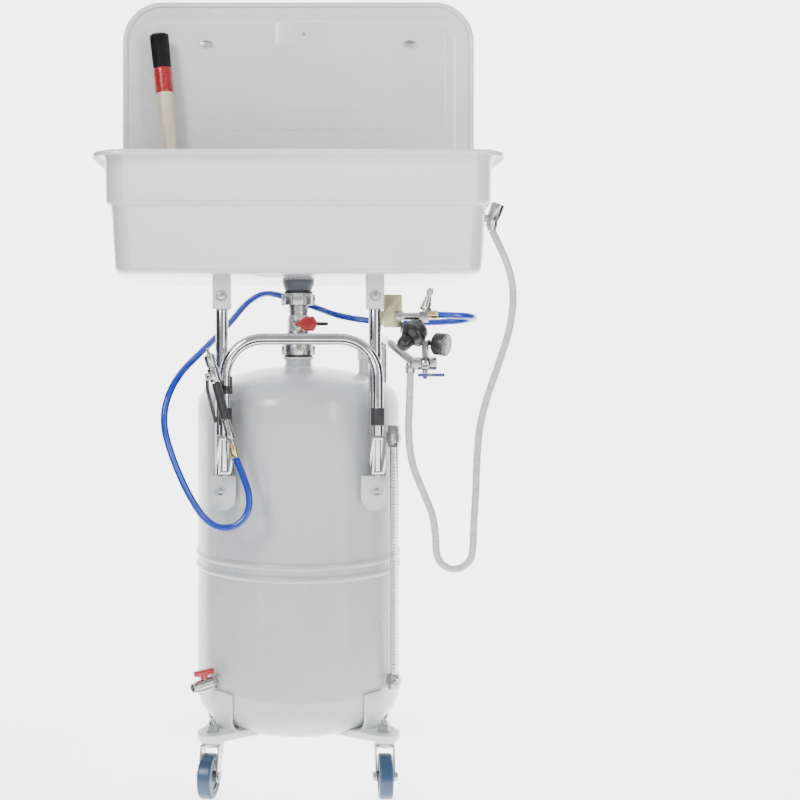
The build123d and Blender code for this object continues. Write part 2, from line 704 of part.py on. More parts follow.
# ---- air side, on the right post ----
AIR_Y = -150
with BuildPart() as air_bracket:
    with BuildSketch(Plane.XZ.offset(142)):
        with Locations((167.5, 850)):
            Rectangle(33, 58)
    extrude(amount=4)
    with BuildSketch(Plane.XZ.offset(142)):
        with Locations((149, 837)):
            Rectangle(5.4, 26)
    extrude(amount=12)

TEE_X, TEE_Z = 221, 840
PLUG_LEAN = 15
plug_axis = (sin(radians(PLUG_LEAN)), 0, cos(radians(PLUG_LEAN)))
plug_plane = Plane((TEE_X, AIR_Y, TEE_Z), x_dir=(0, 1, 0), z_dir=plug_axis)
with BuildPart() as air_plug:
    hexagon_bar(20, 11.5, 17)
    turned(
        [(17, 8.5), (27, 8.5), (27, 6.5), (35, 6.5), (35, 4.6), (41, 4.6), (41, 6), (47, 6), (52, 4)],
        bore=2.5,
    )
    with Locations((0, 0, 5)):
        Cylinder(5, 7, align=STANDING)
with BuildPart() as air_tee:
    with Locations((TEE_X, AIR_Y, TEE_Z - 1)):
        Box(17, 17, 19)
    with BuildSketch(Plane((186, AIR_Y, TEE_Z), z_dir=(1, 0, 0))):
        Circle(7)
    extrude(amount=30)
    with BuildSketch(Plane((171, AIR_Y, TEE_Z), z_dir=(1, 0, 0))):
        RegularPolygon(8.5, 6, major_radius=False)
    extrude(amount=15)
    add(plug_plane.location * air_plug.part)

REGULATOR_X, REGULATOR_Y, REGULATOR_Z = 200, -172, 808
regulator_direction = Vector(-0.64, -0.42, -0.64).normalized()
regulator_plane = Plane((REGULATOR_X, REGULATOR_Y, REGULATOR_Z), z_dir=regulator_direction)
with BuildPart() as regulator_body:
    turned([(-24, 14), (-17, 20), (-4, 23), (-4, 24.5), (4, 24.5), (4, 21), (13, 15)])
    with Locations((0, 0, -2)):
        Cylinder(4.05, 60, mode=Mode.SUBTRACT)
regulator_body_part = regulator_plane.location * regulator_body.part
with BuildPart() as regulator_knob:
    turned([(13.4, 13.5), (30, 12), (34, 9)])
    with PolarLocations(13.6, 12):
        with Locations((0, 0, 21)):
            Cylinder(1.6, 16, mode=Mode.SUBTRACT)
    turned([(-8, 4), (13.4, 4)])
regulator_knob_part = regulator_plane.location * regulator_knob.part

GAUGE_RADIUS = 20
gauge_direction = Vector(0.80, -0.58, -0.12).normalized()
gauge_dial_plane = Plane((250, AIR_Y - 8, 791), z_dir=gauge_direction)
with BuildPart() as gauge_case:
    turned([(-12, 15), (-8, GAUGE_RADIUS), (12, GAUGE_RADIUS)])
    with Locations((0, 0, 7)):
        Cylinder(GAUGE_RADIUS - 2, 20, align=STANDING, mode=Mode.SUBTRACT)
    turned([(-26, 5), (-11, 5)])
gauge_case_part = gauge_dial_plane.location * gauge_case.part
with BuildPart() as gauge_lens:
    turned([(10, GAUGE_RADIUS - 2.1), (11.8, GAUGE_RADIUS - 2.1)])
gauge_lens_part = gauge_dial_plane.location * gauge_lens.part

# ---- solvent outlet valve with the blue lever ----
VALVE_X, VALVE_Z = 224, 757
with BuildPart() as outlet_manifold:
    with BuildLine() as outlet_path:
        FilletPolyline(
            (RISER_X, RISER_Y, RISER_TOP + 0.1),
            (RISER_X, RISER_Y, RISER_TOP + 20),
            (168, -90, 792),
            (VALVE_X - 22, AIR_Y, VALVE_Z + 3),
            radius=14,
        )
    with BuildSketch(Plane((RISER_X, RISER_Y, RISER_TOP + 0.1))):
        Circle(7)
    sweep(path=outlet_path.line)

with BuildPart() as outlet_valve:
    with Locations((VALVE_X, AIR_Y, VALVE_Z)):
        Sphere(13)
    with BuildSketch(Plane((VALVE_X - 24, AIR_Y, VALVE_Z), z_dir=(1, 0, 0))):
        RegularPolygon(10, 6, major_radius=False)
    extrude(amount=16)
    with BuildSketch(Plane((VALVE_X + 6, AIR_Y, VALVE_Z), z_dir=(1, 0, 0))):
        RegularPolygon(10, 6, major_radius=False)
    extrude(amount=14)
    with Locations((VALVE_X, AIR_Y, VALVE_Z - 17)):
        Cylinder(5, 12, align=STANDING)
    with Locations((198, AIR_Y, 740)):
        Cylinder(8.5, 18, align=STANDING)
    with Locations((VALVE_X, AIR_Y, VALVE_Z + 10)):
        Box(12, 14, 30, align=STANDING)

LEVER_TOP = 739.6
LEVER_THICKNESS = 6
with BuildPart() as outlet_valve_lever:
    with BuildSketch(Plane((0, AIR_Y, LEVER_TOP - LEVER_THICKNESS))):
        with Locations((VALVE_X, 0)):
            Circle(8)
        with Locations((VALVE_X + 11, 0)):
            SlotOverall(48, 13)
    extrude(amount=LEVER_THICKNESS)
    fillet(outlet_valve_lever.edges().group_by(Axis.Z)[0], radius=1.5)
    with Locations((VALVE_X, AIR_Y, LEVER_TOP - LEVER_THICKNESS - 4)):
        Cylinder(4, 5, align=STANDING)

# ---- wash gun, hung on the left post ----
GUN_Y = -212
gun_low = Vector(-108, GUN_Y, 597)
GUN_LEAN = 14.5
gun_up = (-sin(radians(GUN_LEAN)), 0, cos(radians(GUN_LEAN)))
gun_plane = Plane(gun_low, x_dir=(cos(radians(GUN_LEAN)), 0, sin(radians(GUN_LEAN))), z_dir=gun_up)
LEVER_PIVOT_UP = 146
with BuildPart() as gun_body:
    turned([(24, 6), (32, 6), (32, 9), (44, 9), (44, 7.5), (66, 7.5)])
    turned([(66, 5), (134, 5)])
    turned([(134, 11), (158, 11), (158, 9), (164, 9)])
    turned([(164, 9.6), (180, 9.6), (183, 5), (184, 3.2), (193, 2.4)])
    with Locations((-9, 0, LEVER_PIVOT_UP)):
        Box(12, 22, 12)
        Box(14, 12.6, 30, mode=Mode.SUBTRACT)
    with BuildSketch(Plane.XZ.offset(-20)):
        with Locations((-10.5, LEVER_PIVOT_UP)):
            Circle(2.06)
    extrude(amount=40, mode=Mode.SUBTRACT)
gun_body_part = gun_plane.location * gun_body.part

with BuildPart() as gun_grip:
    with BuildSketch(Plane.XY.offset(68)):
        Ellipse(8, 11)
    extrude(amount=64)
    fillet(gun_grip.edges().group_by(Axis.Z)[0], radius=2)
    Cylinder(5.05, 400, mode=Mode.SUBTRACT)
gun_grip_part = gun_plane.location * gun_grip.part

with BuildPart() as gun_lever:
    with BuildSketch(Plane.XZ.offset(-6)) as lever_side:
        with BuildLine():
            Polyline(
                (-8.2, LEVER_PIVOT_UP + 4),
                (-14.5, LEVER_PIVOT_UP + 4),
                (-20, LEVER_PIVOT_UP - 20),
                (-20, 66),
                (-15, 66),
                (-15, LEVER_PIVOT_UP - 22),
                (-11.4, LEVER_PIVOT_UP - 8),
                (-8.2, LEVER_PIVOT_UP - 4),
                close=True,
            )
        make_face()
        fillet(lever_side.vertices().group_by(Axis.Y)[0], radius=2)
    extrude(amount=12)
    with BuildSketch(Plane.XZ.offset(-11)):
        with Locations((-10.5, LEVER_PIVOT_UP)):
            Circle(2)
    extrude(amount=22)
gun_lever_part = gun_plane.location * gun_lever.part

HOOK_Z = 712
with BuildPart() as gun_hook:
    leg_x = HANDLE_SHIFT_X - HANDLE_HALF_WIDTH
    with Locations((leg_x, HANDLE_Y, HOOK_Z)):
        Cylinder(HANDLE_RADIUS + 3.5, 14)
        Cylinder(HANDLE_RADIUS + 0.1, 30, mode=Mode.SUBTRACT)
    with BuildLine() as hook_path:
        FilletPolyline(
            (leg_x + 12.5, HANDLE_Y, HOOK_Z),
            (leg_x + 12.5, GUN_Y - 4, HOOK_Z),
            (leg_x + 12.5, GUN_Y - 4, HOOK_Z + 24),
            radius=8,
        )
    with BuildSketch(Plane((leg_x + 12.5, HANDLE_Y, HOOK_Z), z_dir=(0, -1, 0))):
        Circle(2.4)
    sweep(path=hook_path.line)

# ---- hoses ----
BLUE_START = (246, AIR_Y, 843)
BLUE_END = tuple(gun_low)
BLUE_ROUTE = [
    BLUE_START,
    (284, -148, 842),
    (310, -129, 841),
    (320, -98, 839),
    (310, -67, 836),
    (284, -49, 833),
    (238, -46, 831),
    (174, -49, 831),
    (112, -36, 837),
    (68, -6, 847),
    (38, 30, 860),
    (4, 52, 873),
    (-34, 50, 886),
    (-68, 18, 890),
    (-98, -28, 868),
    (-122, -68, 834),
    (-146, -112, 806),
    (-172, -164, 776),
    (-204, -206, 742),
    (-224, -232, 700),
    (-229, -243, 656),
    (-216, -243, 608),
    (-198, -241, 562),
    (-179, -239, 524),
    (-158, -238, 493),
    (-133, -237, 478),
    (-105, -236, 482),
    (-86, -234, 502),
    (-82, -229, 530),
    (-93, -219, 563),
    BLUE_END,
]
CLEAR_START = (198, AIR_Y, 740)
CLEAR_END = (343, COUPLER_Y, 993)
CLEAR_ROUTE = [
    CLEAR_START,
    (197, -151, 694),
    (194, -152, 640),
    (199, -152, 584),
    (218, -153, 535),
    (237, -153, 492),
    (243, -152, 454),
    (243, -152, 421),
    (252, -152, 402),
    (271, -151, 392),
    (291, -151, 396),
    (306, -151, 411),
    (309, -150, 432),
    (310, -150, 470),
    (314, -149, 530),
    (316, -149, 590),
    (321, -148, 650),
    (336, -148, 704),
    (358, -147, 764),
    (378, -146, 830),
    (382, -146, 888),
    (369, -146, 942),
    CLEAR_END,
]


def hose(route, diameter, bore, name):
    """Hose of straight runs joined by arcs as large as the runs allow, with its length printed."""
    points = [Vector(*point) for point in route]
    arcs = []
    for before, corner, after in zip(points, points[1:], points[2:]):
        arriving, leaving = corner - before, after - corner
        turn = radians(arriving.get_angle(leaving))
        arcs.append(0.45 * min(arriving.length, leaving.length) / tan(turn / 2))
    with BuildPart() as tube:
        with BuildLine() as centre_line:
            FilletPolyline(*points, radius=arcs)
        with BuildSketch(Plane(points[0], z_dir=points[1] - points[0])) as section:
            Circle(diameter / 2)
            Circle(bore / 2, mode=Mode.SUBTRACT)
        sweep(path=centre_line.line)
    length = sum(edge.length for edge in centre_line.edges())
    share = tube.part.volume / (section.sketch.area * length)
    print(name, "length", round(length), "volume share", round(share, 4), "radii", [round(a) for a in arcs])
    return tube.part


blue_hose = hose(BLUE_ROUTE, BLUE_HOSE_DIAMETER, 8, "blue_hose")
clear_hose = hose(CLEAR_ROUTE, CLEAR_HOSE_DIAMETER, 9, "clear_hose")

blue_start_direction = Vector(*BLUE_ROUTE[1]) - Vector(*BLUE_ROUTE[0])
with BuildPart() as blue_start_ferrule:
    turned([(-18, 8), (0, 8)])
with BuildPart() as blue_end_ferrule:
    turned([(0, 7.5), (20, 7.5), (20, 5.5), (24, 5.5)])
with BuildPart() as hose_ferrules:
    add(Plane(Vector(*BLUE_START), z_dir=blue_start_direction).location * blue_start_ferrule.part)
    add(gun_plane.location * blue_end_ferrule.part)

# ---- coupler on the basin's right wall ----
COUPLER_MOUTH = 34
COUPLER_DEPTH = 16
coupler_in = Vector(*CLEAR_END)
coupler_base = (343, COUPLER_Y, COUPLER_HEIGHT - 6)
coupler_aim = (354, COUPLER_Y - 8, COUPLER_HEIGHT + 26)
with BuildPart() as coupler_leg:
    turned([(0, 8), (6, 8), (6, 10), (22, 10)])
with BuildPart() as coupler_mouth:
    turned([(0, 9), (12, 11.5), (COUPLER_MOUTH, 11.5)])
    with Locations((0, 0, COUPLER_MOUTH - COUPLER_DEPTH)):
        Cylinder(8, COUPLER_DEPTH + 2, align=STANDING, mode=Mode.SUBTRACT)
with BuildPart() as wall_coupler:
    add(axis_plane(coupler_in, (343, COUPLER_Y, COUPLER_HEIGHT + 2)).location * coupler_leg.part)
    add(axis_plane(coupler_base, coupler_aim).location * coupler_mouth.part)
    with BuildSketch(Plane((318, COUPLER_Y, COUPLER_HEIGHT), z_dir=(1, 0, 0))):
        Circle(7)
    extrude(amount=24)

# ---- brush ----
BRUSH_LEAN = 6
brush_foot = Vector(-249, 197, GRID_LEVEL + GRID_THICKNESS + 2.3)
brush_plane = Plane(
    brush_foot,
    x_dir=(cos(radians(BRUSH_LEAN)), 0, sin(radians(BRUSH_LEAN))),
    z_dir=(-sin(radians(BRUSH_LEAN)), 0.052, cos(radians(BRUSH_LEAN))),
)
BRUSH_HANDLE = 280
FERRULE_TOP = 328
BRISTLE_TOP = 402
with BuildPart() as brush_handle:
    turned(
        [
            (0, 11),
            (8, 14),
            (70, 15),
            (150, 13.5),
            (190, 14.5),
            (240, 17),
            (BRUSH_HANDLE - 4, 17.5),
        ]
    )
brush_handle_part = brush_plane.location * brush_handle.part
with BuildPart() as brush_ferrule:
    turned([(BRUSH_HANDLE - 4, 18.5), (FERRULE_TOP, 19.5)])
brush_ferrule_part = brush_plane.location * brush_ferrule.part
with BuildPart() as brush_bristles:
    turned([(FERRULE_TOP, 18.8), (BRISTLE_TOP, 20.5)])
brush_bristles_part = brush_plane.location * brush_bristles.part

# ---- pieces made in pairs that share a node ----
with BuildPart() as front_leg_pair:
    add([front_legs[side] for side in SIDES])
with BuildPart() as caster_head_pair:
    add([caster_heads[side] for side in SIDES])
with BuildPart() as post_lug_pair:
    add([lugs[side].part for side in SIDES])
with BuildPart() as post_pair:
    add([posts[side].part for side in SIDES])

# ---- names ----
pieces = {
    "tank_shell": tank_shell.part,
    "tank_ports": tank_ports.part,
    "dip_tube": dip_tube.part,
    "filler_cap": filler_cap.part,
    "sight_gauge_fittings": sight_gauge_fittings.part,
    "sight_gauge_tube": sight_gauge_tube.part,
    "tap_body": tap_body.part,
    "tap_lever": tap_lever.part,
    "front_legs": front_leg_pair.part,
    "caster_heads": caster_head_pair.part,
    "post_lugs": post_lug_pair.part,
    "posts": post_pair.part,
    "rear_brackets": rear_brackets.part,
    "rear_axle": rear_axle.part,
    "post_sleeves": post_sleeves.part,
    "frame_bolts": frame_bolts.part,
    "pull_handle": pull_handle.part,
    "handle_brackets": handle_brackets.part,
    "handle_collars": handle_collars.part,
    "basin_bowl": basin_bowl_part,
    "basin_wall": basin_wall_part,
    "work_grid": work_grid.part,
    "drain_strainer": drain_strainer.part,
    "backsplash": backsplash.part,
    "drain_socket": drain_socket.part,
    "union_gaskets": union_gaskets.part,
    "union_nuts": union_nuts.part,
    "drain_valve_body": drain_valve_body.part,
    "drain_valve_ball": drain_valve_ball.part,
    "drain_valve_knob": drain_valve_knob.part,
    "air_bracket": air_bracket.part,
    "air_tee": air_tee.part,
    "regulator_body": regulator_body_part,
    "regulator_knob": regulator_knob_part,
    "gauge_case": gauge_case_part,
    "gauge_lens": gauge_lens_part,
    "outlet_manifold": outlet_manifold.part,
    "outlet_valve": outlet_valve.part,
    "outlet_valve_lever": outlet_valve_lever.part,
    "gun_body": gun_body_part,
    "gun_grip": gun_grip_part,
    "gun_lever": gun_lever_part,
    "gun_hook": gun_hook.part,
    "hose_ferrules": hose_ferrules.part,
    "blue_hose": blue_hose,
    "clear_hose": clear_hose,
    "wall_coupler": wall_coupler.part,
    "brush_handle": brush_handle_part,
    "brush_ferrule": brush_ferrule_part,
    "brush_bristles": brush_bristles_part,
}
for side in SIDES:
    pieces[f"caster_fork_{side}"] = caster_forks[side]
    pieces[f"caster_tread_{side}"] = caster_treads[side].part
    pieces[f"caster_hub_{side}"] = caster_hubs[side].part
    pieces[f"rear_tyre_{side}"] = rear_tyres[side].part
    pieces[f"rear_hub_{side}"] = rear_hubs[side].part

os.makedirs("parts", exist_ok=True)
to_footprint = Location((0, -FOOTPRINT_CENTRE_Y, 0))
for name, piece in pieces.items():
    placed = piece.moved(to_footprint)
    placed.label = name
    export_step(placed, f"parts/{name}.step")
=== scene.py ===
import json
from math import acos, cos, degrees, pi, radians, sin, sqrt

import bmesh
import bpy
from mathutils import Matrix, Vector


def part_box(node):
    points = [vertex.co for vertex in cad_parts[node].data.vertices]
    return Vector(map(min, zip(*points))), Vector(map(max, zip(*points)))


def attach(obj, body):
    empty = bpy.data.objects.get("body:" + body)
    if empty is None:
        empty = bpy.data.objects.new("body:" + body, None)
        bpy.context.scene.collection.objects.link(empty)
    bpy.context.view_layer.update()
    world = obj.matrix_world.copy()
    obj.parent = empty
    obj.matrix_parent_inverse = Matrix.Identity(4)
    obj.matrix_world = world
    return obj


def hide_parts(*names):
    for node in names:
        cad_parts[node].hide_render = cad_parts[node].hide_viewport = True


# Parts washer: pressure tank on wheels, wash basin with splash guard on two posts.
# Metres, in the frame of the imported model: +Z up, -Y to the front, +X to the right.

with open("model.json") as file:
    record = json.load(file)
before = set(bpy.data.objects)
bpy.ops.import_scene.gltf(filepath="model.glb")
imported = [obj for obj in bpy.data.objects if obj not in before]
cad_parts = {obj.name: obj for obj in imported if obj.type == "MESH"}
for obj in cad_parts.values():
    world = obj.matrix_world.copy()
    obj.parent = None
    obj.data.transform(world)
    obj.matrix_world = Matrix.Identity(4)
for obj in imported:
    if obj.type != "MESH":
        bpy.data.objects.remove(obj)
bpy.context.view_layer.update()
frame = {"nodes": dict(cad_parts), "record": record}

NODES = frame["nodes"]
BODY_OF = {node: body for body, nodes in frame["record"]["behaviour"]["bodies"].items() for node in nodes}
SLOT_OF = {part["node"]: part["material_slot"] for part in frame["record"]["subparts"]}
MM = 0.001

shell_low, shell_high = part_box("tank_shell")
TANK_Y = (shell_low.y + shell_high.y) / 2
BEAD_PROUD = 3 * MM
TANK_RADIUS = (shell_high.x - shell_low.x) / 2 - BEAD_PROUD
NECK_RISE = 17 * MM
TANK_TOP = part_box("tank_ports")[1].z - NECK_RISE

# A turned piece closes round its axis with a face of this radius.
POLE = 0.1 * MM


# ---------------------------------------------------------------- camera, floor and light
CAMERA_DISTANCE = 2.21
CAMERA_HEIGHT = 0.79
CAMERA_LENS = 52.4
CAMERA_SHIFT = (0.127, -0.069)


def make_camera():
    """Camera level with the middle of the washer, straight in front of the tank."""
    data = bpy.data.cameras.new("view_camera")
    data.lens = CAMERA_LENS
    data.sensor_width = 36
    data.shift_x, data.shift_y = CAMERA_SHIFT
    camera = bpy.data.objects.new("view_camera", data)
    camera.location = (0, TANK_Y - CAMERA_DISTANCE, CAMERA_HEIGHT)
    camera.rotation_euler = (radians(90), 0, 0)
    bpy.context.scene.collection.objects.link(camera)
    bpy.context.scene.camera = camera


def area_light(name, place, target, size, power):
    """Soft box at place, turned to target."""
    data = bpy.data.lights.new(name, "AREA")
    data.shape = "RECTANGLE"
    data.size, data.size_y = size
    data.energy = power
    light = bpy.data.objects.new(name, data)
    light.location = place
    light.rotation_euler = (Vector(target) - Vector(place)).to_track_quat("-Z", "Y").to_euler()
    bpy.context.scene.collection.objects.link(light)


def studio_paint(name, grey):
    """Matt paint of the studio, and its shader."""
    paint = bpy.data.materials.new(name)
    paint.use_nodes = True
    shader = paint.node_tree.nodes["Principled BSDF"]
    shader.inputs["Base Color"].default_value = (grey, grey, grey, 1)
    return paint, shader


def studio_piece(name, points, faces, paint, seen=True):
    """Mesh of the studio, not of the washer, which the camera may be kept from seeing."""
    mesh = bpy.data.meshes.new(name)
    mesh.from_pydata(points, [], faces)
    mesh.shade_smooth()
    mesh.materials.append(paint)
    piece = bpy.data.objects.new(name, mesh)
    piece.visible_camera = seen
    bpy.context.scene.collection.objects.link(piece)


FLOOR_FRONT = -9.0
FLOOR_HALF_WIDTH = 12.0
WALL_Y = 4.6
WALL_TOP = 9.0
WALL_BEND = 1.6
WALL_BEND_STEPS = 16


def make_floor():
    """Pale glowing floor that curves up into a wall."""
    section = [(FLOOR_FRONT, 0.0), (WALL_Y - WALL_BEND, 0.0)]
    for step in range(1, WALL_BEND_STEPS + 1):
        turn = radians(90) * step / WALL_BEND_STEPS
        section.append((WALL_Y - WALL_BEND + WALL_BEND * sin(turn), WALL_BEND * (1 - cos(turn))))
    section.append((WALL_Y, WALL_TOP))
    points = [(x, y, z) for y, z in section for x in (-FLOOR_HALF_WIDTH, FLOOR_HALF_WIDTH)]
    faces = [(2 * i, 2 * i + 1, 2 * i + 3, 2 * i + 2) for i in range(len(section) - 1)]
    paint, shader = studio_paint("studio_white", 0.93)
    shader.inputs["Roughness"].default_value = 0.9
    shader.inputs["Emission Color"].default_value = (1, 1, 1, 1)
    shader.inputs["Emission Strength"].default_value = 3.0
    studio_piece("studio_floor", points, faces, paint)


CARD_MIDDLE = 0.22
CARD_HEIGHT = 1.7
CARD_NEAR = (1.05, -1.0)
CARD_FAR = (1.30, 0.5)
MAT_CORNERS = ((-1.3, -2.1), (1.6, -2.1), (1.1, -0.62), (-0.8, -0.62))
MAT_HEIGHT = 0.01


def make_dark_cards():
    """Two dark cards beside the washer and a dark mat before it, for the chrome and enamel to reflect."""
    dark = studio_paint("studio_dark", 0.01)[0]
    one_face = [(0, 1, 2, 3)]
    for side in (-1, 1):
        near, far = [(CARD_MIDDLE + side * reach, y) for reach, y in (CARD_NEAR, CARD_FAR)]
        corners = [(*near, 0.0), (*far, 0.0), (*far, CARD_HEIGHT), (*near, CARD_HEIGHT)]
        studio_piece("dark_card", corners, one_face, dark, seen=False)
    mat = [(x, y, MAT_HEIGHT) for x, y in MAT_CORNERS]
    studio_piece("dark_mat", mat, one_face, dark, seen=False)


def make_studio():
    """White world, floor, dark cards and three soft boxes."""
    world = bpy.data.worlds.new("studio_world")
    world.use_nodes = True
    background = world.node_tree.nodes["Background"]
    background.inputs["Color"].default_value = (1, 1, 1, 1)
    background.inputs["Strength"].default_value = 0.60
    bpy.context.scene.world = world
    make_floor()
    make_dark_cards()
    area_light("key_box", place=(-1.9, -2.9, 2.6), target=(0, 0, 0.9), size=(0.9, 1.6), power=105)
    area_light("fill_box", place=(2.3, -2.9, 1.5), target=(0, 0, 0.7), size=(0.6, 2.0), power=34)
    area_light("back_box", place=(0.4, 2.4, 3.2), target=(0, 0, 1.0), size=(2.6, 1.2), power=25)


make_camera()
make_studio()


# ---------------------------------------------------------------- finishes
def shader_of(name):
    """New material, its node tree and its Principled shader."""
    material = bpy.data.materials.new(name)
    material.use_nodes = True
    tree = material.node_tree
    return material, tree, tree.nodes["Principled BSDF"]


def grain(tree, scale, detail=3.0, stretch=(1, 1, 1)):
    """Noise in the piece's own space, stretched along an axis where a surface has a direction."""
    place = tree.nodes.new("ShaderNodeTexCoord")
    mapping = tree.nodes.new("ShaderNodeMapping")
    mapping.inputs["Scale"].default_value = stretch
    noise = tree.nodes.new("ShaderNodeTexNoise")
    noise.inputs["Scale"].default_value = scale
    noise.inputs["Detail"].default_value = detail
    tree.links.new(place.outputs["Object"], mapping.inputs["Vector"])
    tree.links.new(mapping.outputs["Vector"], noise.inputs["Vector"])
    return noise.outputs["Fac"]


def between(tree, fac, low, high, start=0.3, end=0.7):
    """Colour or number that runs from low to high with fac."""
    if isinstance(low, (int, float)):
        spread = tree.nodes.new("ShaderNodeMapRange")
        spread.inputs["From Min"].default_value = start
        spread.inputs["From Max"].default_value = end
        spread.inputs["To Min"].default_value = low
        spread.inputs["To Max"].default_value = high
        tree.links.new(fac, spread.inputs["Value"])
        return spread.outputs["Result"]
    ramp = tree.nodes.new("ShaderNodeValToRGB")
    ramp.color_ramp.elements[0].position = start
    ramp.color_ramp.elements[0].color = (*low, 1)
    ramp.color_ramp.elements[1].position = end
    ramp.color_ramp.elements[1].color = (*high, 1)
    tree.links.new(fac, ramp.inputs["Fac"])
    return ramp.outputs["Color"]


def bumped(tree, shader, height, strength, distance):
    """Fine relief on the shader's normal."""
    bump = tree.nodes.new("ShaderNodeBump")
    bump.inputs["Strength"].default_value = strength
    bump.inputs["Distance"].default_value = distance
    tree.links.new(height, bump.inputs["Height"])
    tree.links.new(bump.outputs["Normal"], shader.inputs["Normal"])


def shade(colour, factor):
    """The same colour, darker or lighter."""
    return tuple(min(1.0, channel * factor) for channel in colour)


def tinted(tree, shader, fac, colour, darkest, lightest):
    """Base colour that wanders between two shades of one colour."""
    wander = between(tree, fac, shade(colour, darkest), shade(colour, lightest))
    tree.links.new(wander, shader.inputs["Base Color"])


def glossed(tree, shader, fac, lowest, highest):
    """Roughness that wanders between two values."""
    tree.links.new(between(tree, fac, lowest, highest), shader.inputs["Roughness"])


def sprayed_paint(name, colour, rough=0.28, peel=0.05, coat=0.35):
    """Sprayed and baked enamel: faint cloudiness, orange peel, slightly uneven gloss."""
    material, tree, shader = shader_of(name)
    tinted(tree, shader, grain(tree, 6.0, 4.0), colour, 0.95, 1.04)
    glossed(tree, shader, grain(tree, 25.0), rough * 0.8, rough * 1.25)
    shader.inputs["Coat Weight"].default_value = coat
    shader.inputs["Coat Roughness"].default_value = 0.08
    bumped(tree, shader, grain(tree, 320.0, 2.0), peel, 0.8 * MM)
    return material


def plated(name, colour, rough_low, rough_high, scratch=0.04, stretch=(1, 1, 1)):
    """Plated or bare metal with smudged gloss and fine drawn marks along one direction."""
    material, tree, shader = shader_of(name)
    shader.inputs["Metallic"].default_value = 1.0
    tinted(tree, shader, grain(tree, 30.0, 5.0), colour, 0.86, 1.06)
    glossed(tree, shader, grain(tree, 55.0, 6.0), rough_low, rough_high)
    bumped(tree, shader, grain(tree, 240.0, 4.0, stretch), scratch, 0.4 * MM)
    return material


def moulded(name, colour, rough=0.45, texture=0.08, coat=0.0):
    """Moulded plastic or rubber: even colour, fine spark texture, worn gloss in patches."""
    material, tree, shader = shader_of(name)
    tinted(tree, shader, grain(tree, 18.0), colour, 0.88, 1.10)
    glossed(tree, shader, grain(tree, 60.0, 5.0), rough * 0.8, rough * 1.2)
    shader.inputs["Coat Weight"].default_value = coat
    bumped(tree, shader, grain(tree, 700.0, 2.0), texture, 0.3 * MM)
    return material


def see_through(name, colour, rough, transmission):
    """Clear plastic: slight tint, faint haze that varies along it."""
    material, tree, shader = shader_of(name)
    haze = grain(tree, 40.0)
    tinted(tree, shader, haze, colour, 0.94, 1.03)
    glossed(tree, shader, haze, rough * 0.7, rough * 1.3)
    shader.inputs["Transmission Weight"].default_value = transmission
    shader.inputs["IOR"].default_value = 1.45
    return material


def sealed_wood(name, colour):
    """Pale lacquered wood with grain along the upright handle."""
    material, tree, shader = shader_of(name)
    rings = grain(tree, 90.0, 6.0, (1, 1, 0.06))
    tinted(tree, shader, rings, colour, 0.72, 1.06)
    glossed(tree, shader, grain(tree, 70.0), 0.3, 0.5)
    shader.inputs["Coat Weight"].default_value = 0.2
    bumped(tree, shader, rings, 0.12, 0.4 * MM)
    return material


FINISHES = {
    "tank_paint": sprayed_paint("tank_paint", (0.52, 0.53, 0.545), rough=0.30, peel=0.06),
    "leg_paint": sprayed_paint("leg_paint", (0.66, 0.67, 0.67), rough=0.32, peel=0.08),
    "basin_enamel": sprayed_paint("basin_enamel", (0.78, 0.79, 0.82), rough=0.16, peel=0.03, coat=0.6),
    "splash_paint": sprayed_paint("splash_paint", (0.76, 0.76, 0.775), rough=0.26, peel=0.05, coat=0.4),
    "chrome_tube": plated("chrome_tube", (0.62, 0.62, 0.64), 0.06, 0.16, 0.02, (1, 1, 0.1)),
    "nickel": plated("nickel", (0.46, 0.455, 0.44), 0.18, 0.34, 0.05),
    "zinc": plated("zinc", (0.48, 0.50, 0.52), 0.24, 0.42, 0.06),
    "yellow_zinc": plated("yellow_zinc", (0.50, 0.49, 0.30), 0.26, 0.42, 0.05),
    "brass": plated("brass", (0.66, 0.52, 0.27), 0.16, 0.32, 0.04),
    "black_rubber": moulded("black_rubber", (0.022, 0.022, 0.024), 0.55, 0.15),
    "caster_blue": moulded("caster_blue", (0.020, 0.055, 0.12), 0.38, 0.10, 0.1),
    "grey_plastic": moulded("grey_plastic", (0.10, 0.11, 0.12), 0.45, 0.10),
    "white_plastic": moulded("white_plastic", (0.74, 0.75, 0.74), 0.35, 0.05, 0.1),
    "red_plastic": moulded("red_plastic", (0.40, 0.012, 0.016), 0.28, 0.04, 0.3),
    "red_paint": sprayed_paint("red_paint", (0.42, 0.012, 0.02), rough=0.26, peel=0.06),
    "blue_paint": sprayed_paint("blue_paint", (0.06, 0.07, 0.30), rough=0.28, peel=0.06),
    "black_plastic": moulded("black_plastic", (0.014, 0.014, 0.015), 0.34, 0.08, 0.1),
    "gauge_clear": see_through("gauge_clear", (0.93, 0.90, 0.90), 0.06, 0.9),
    "blue_hose": moulded("blue_hose", (0.002, 0.035, 0.40), 0.20, 0.02, 0.5),
    "clear_hose": see_through("clear_hose", (0.62, 0.63, 0.63), 0.28, 0.12),
    "wood": sealed_wood("wood", (0.80, 0.73, 0.52)),
    "bristle": moulded("bristle", (0.012, 0.012, 0.016), 0.5, 0.1),
}


# ---------------------------------------------------------------- making pieces
# CAD nodes that a finished piece stands for.
SHOWN = set()


def new_piece(name, mesh, body, slot, replaces=()):
    """Object for a finished mesh: its finish, the body it rides on and the nodes it stands for."""
    piece = bpy.data.objects.new(name, mesh)
    bpy.context.scene.collection.objects.link(piece)
    if not mesh.materials:
        mesh.materials.append(FINISHES[slot])
    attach(piece, body)
    if replaces:
        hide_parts(*replaces)
        SHOWN.update(replaces)
    return piece


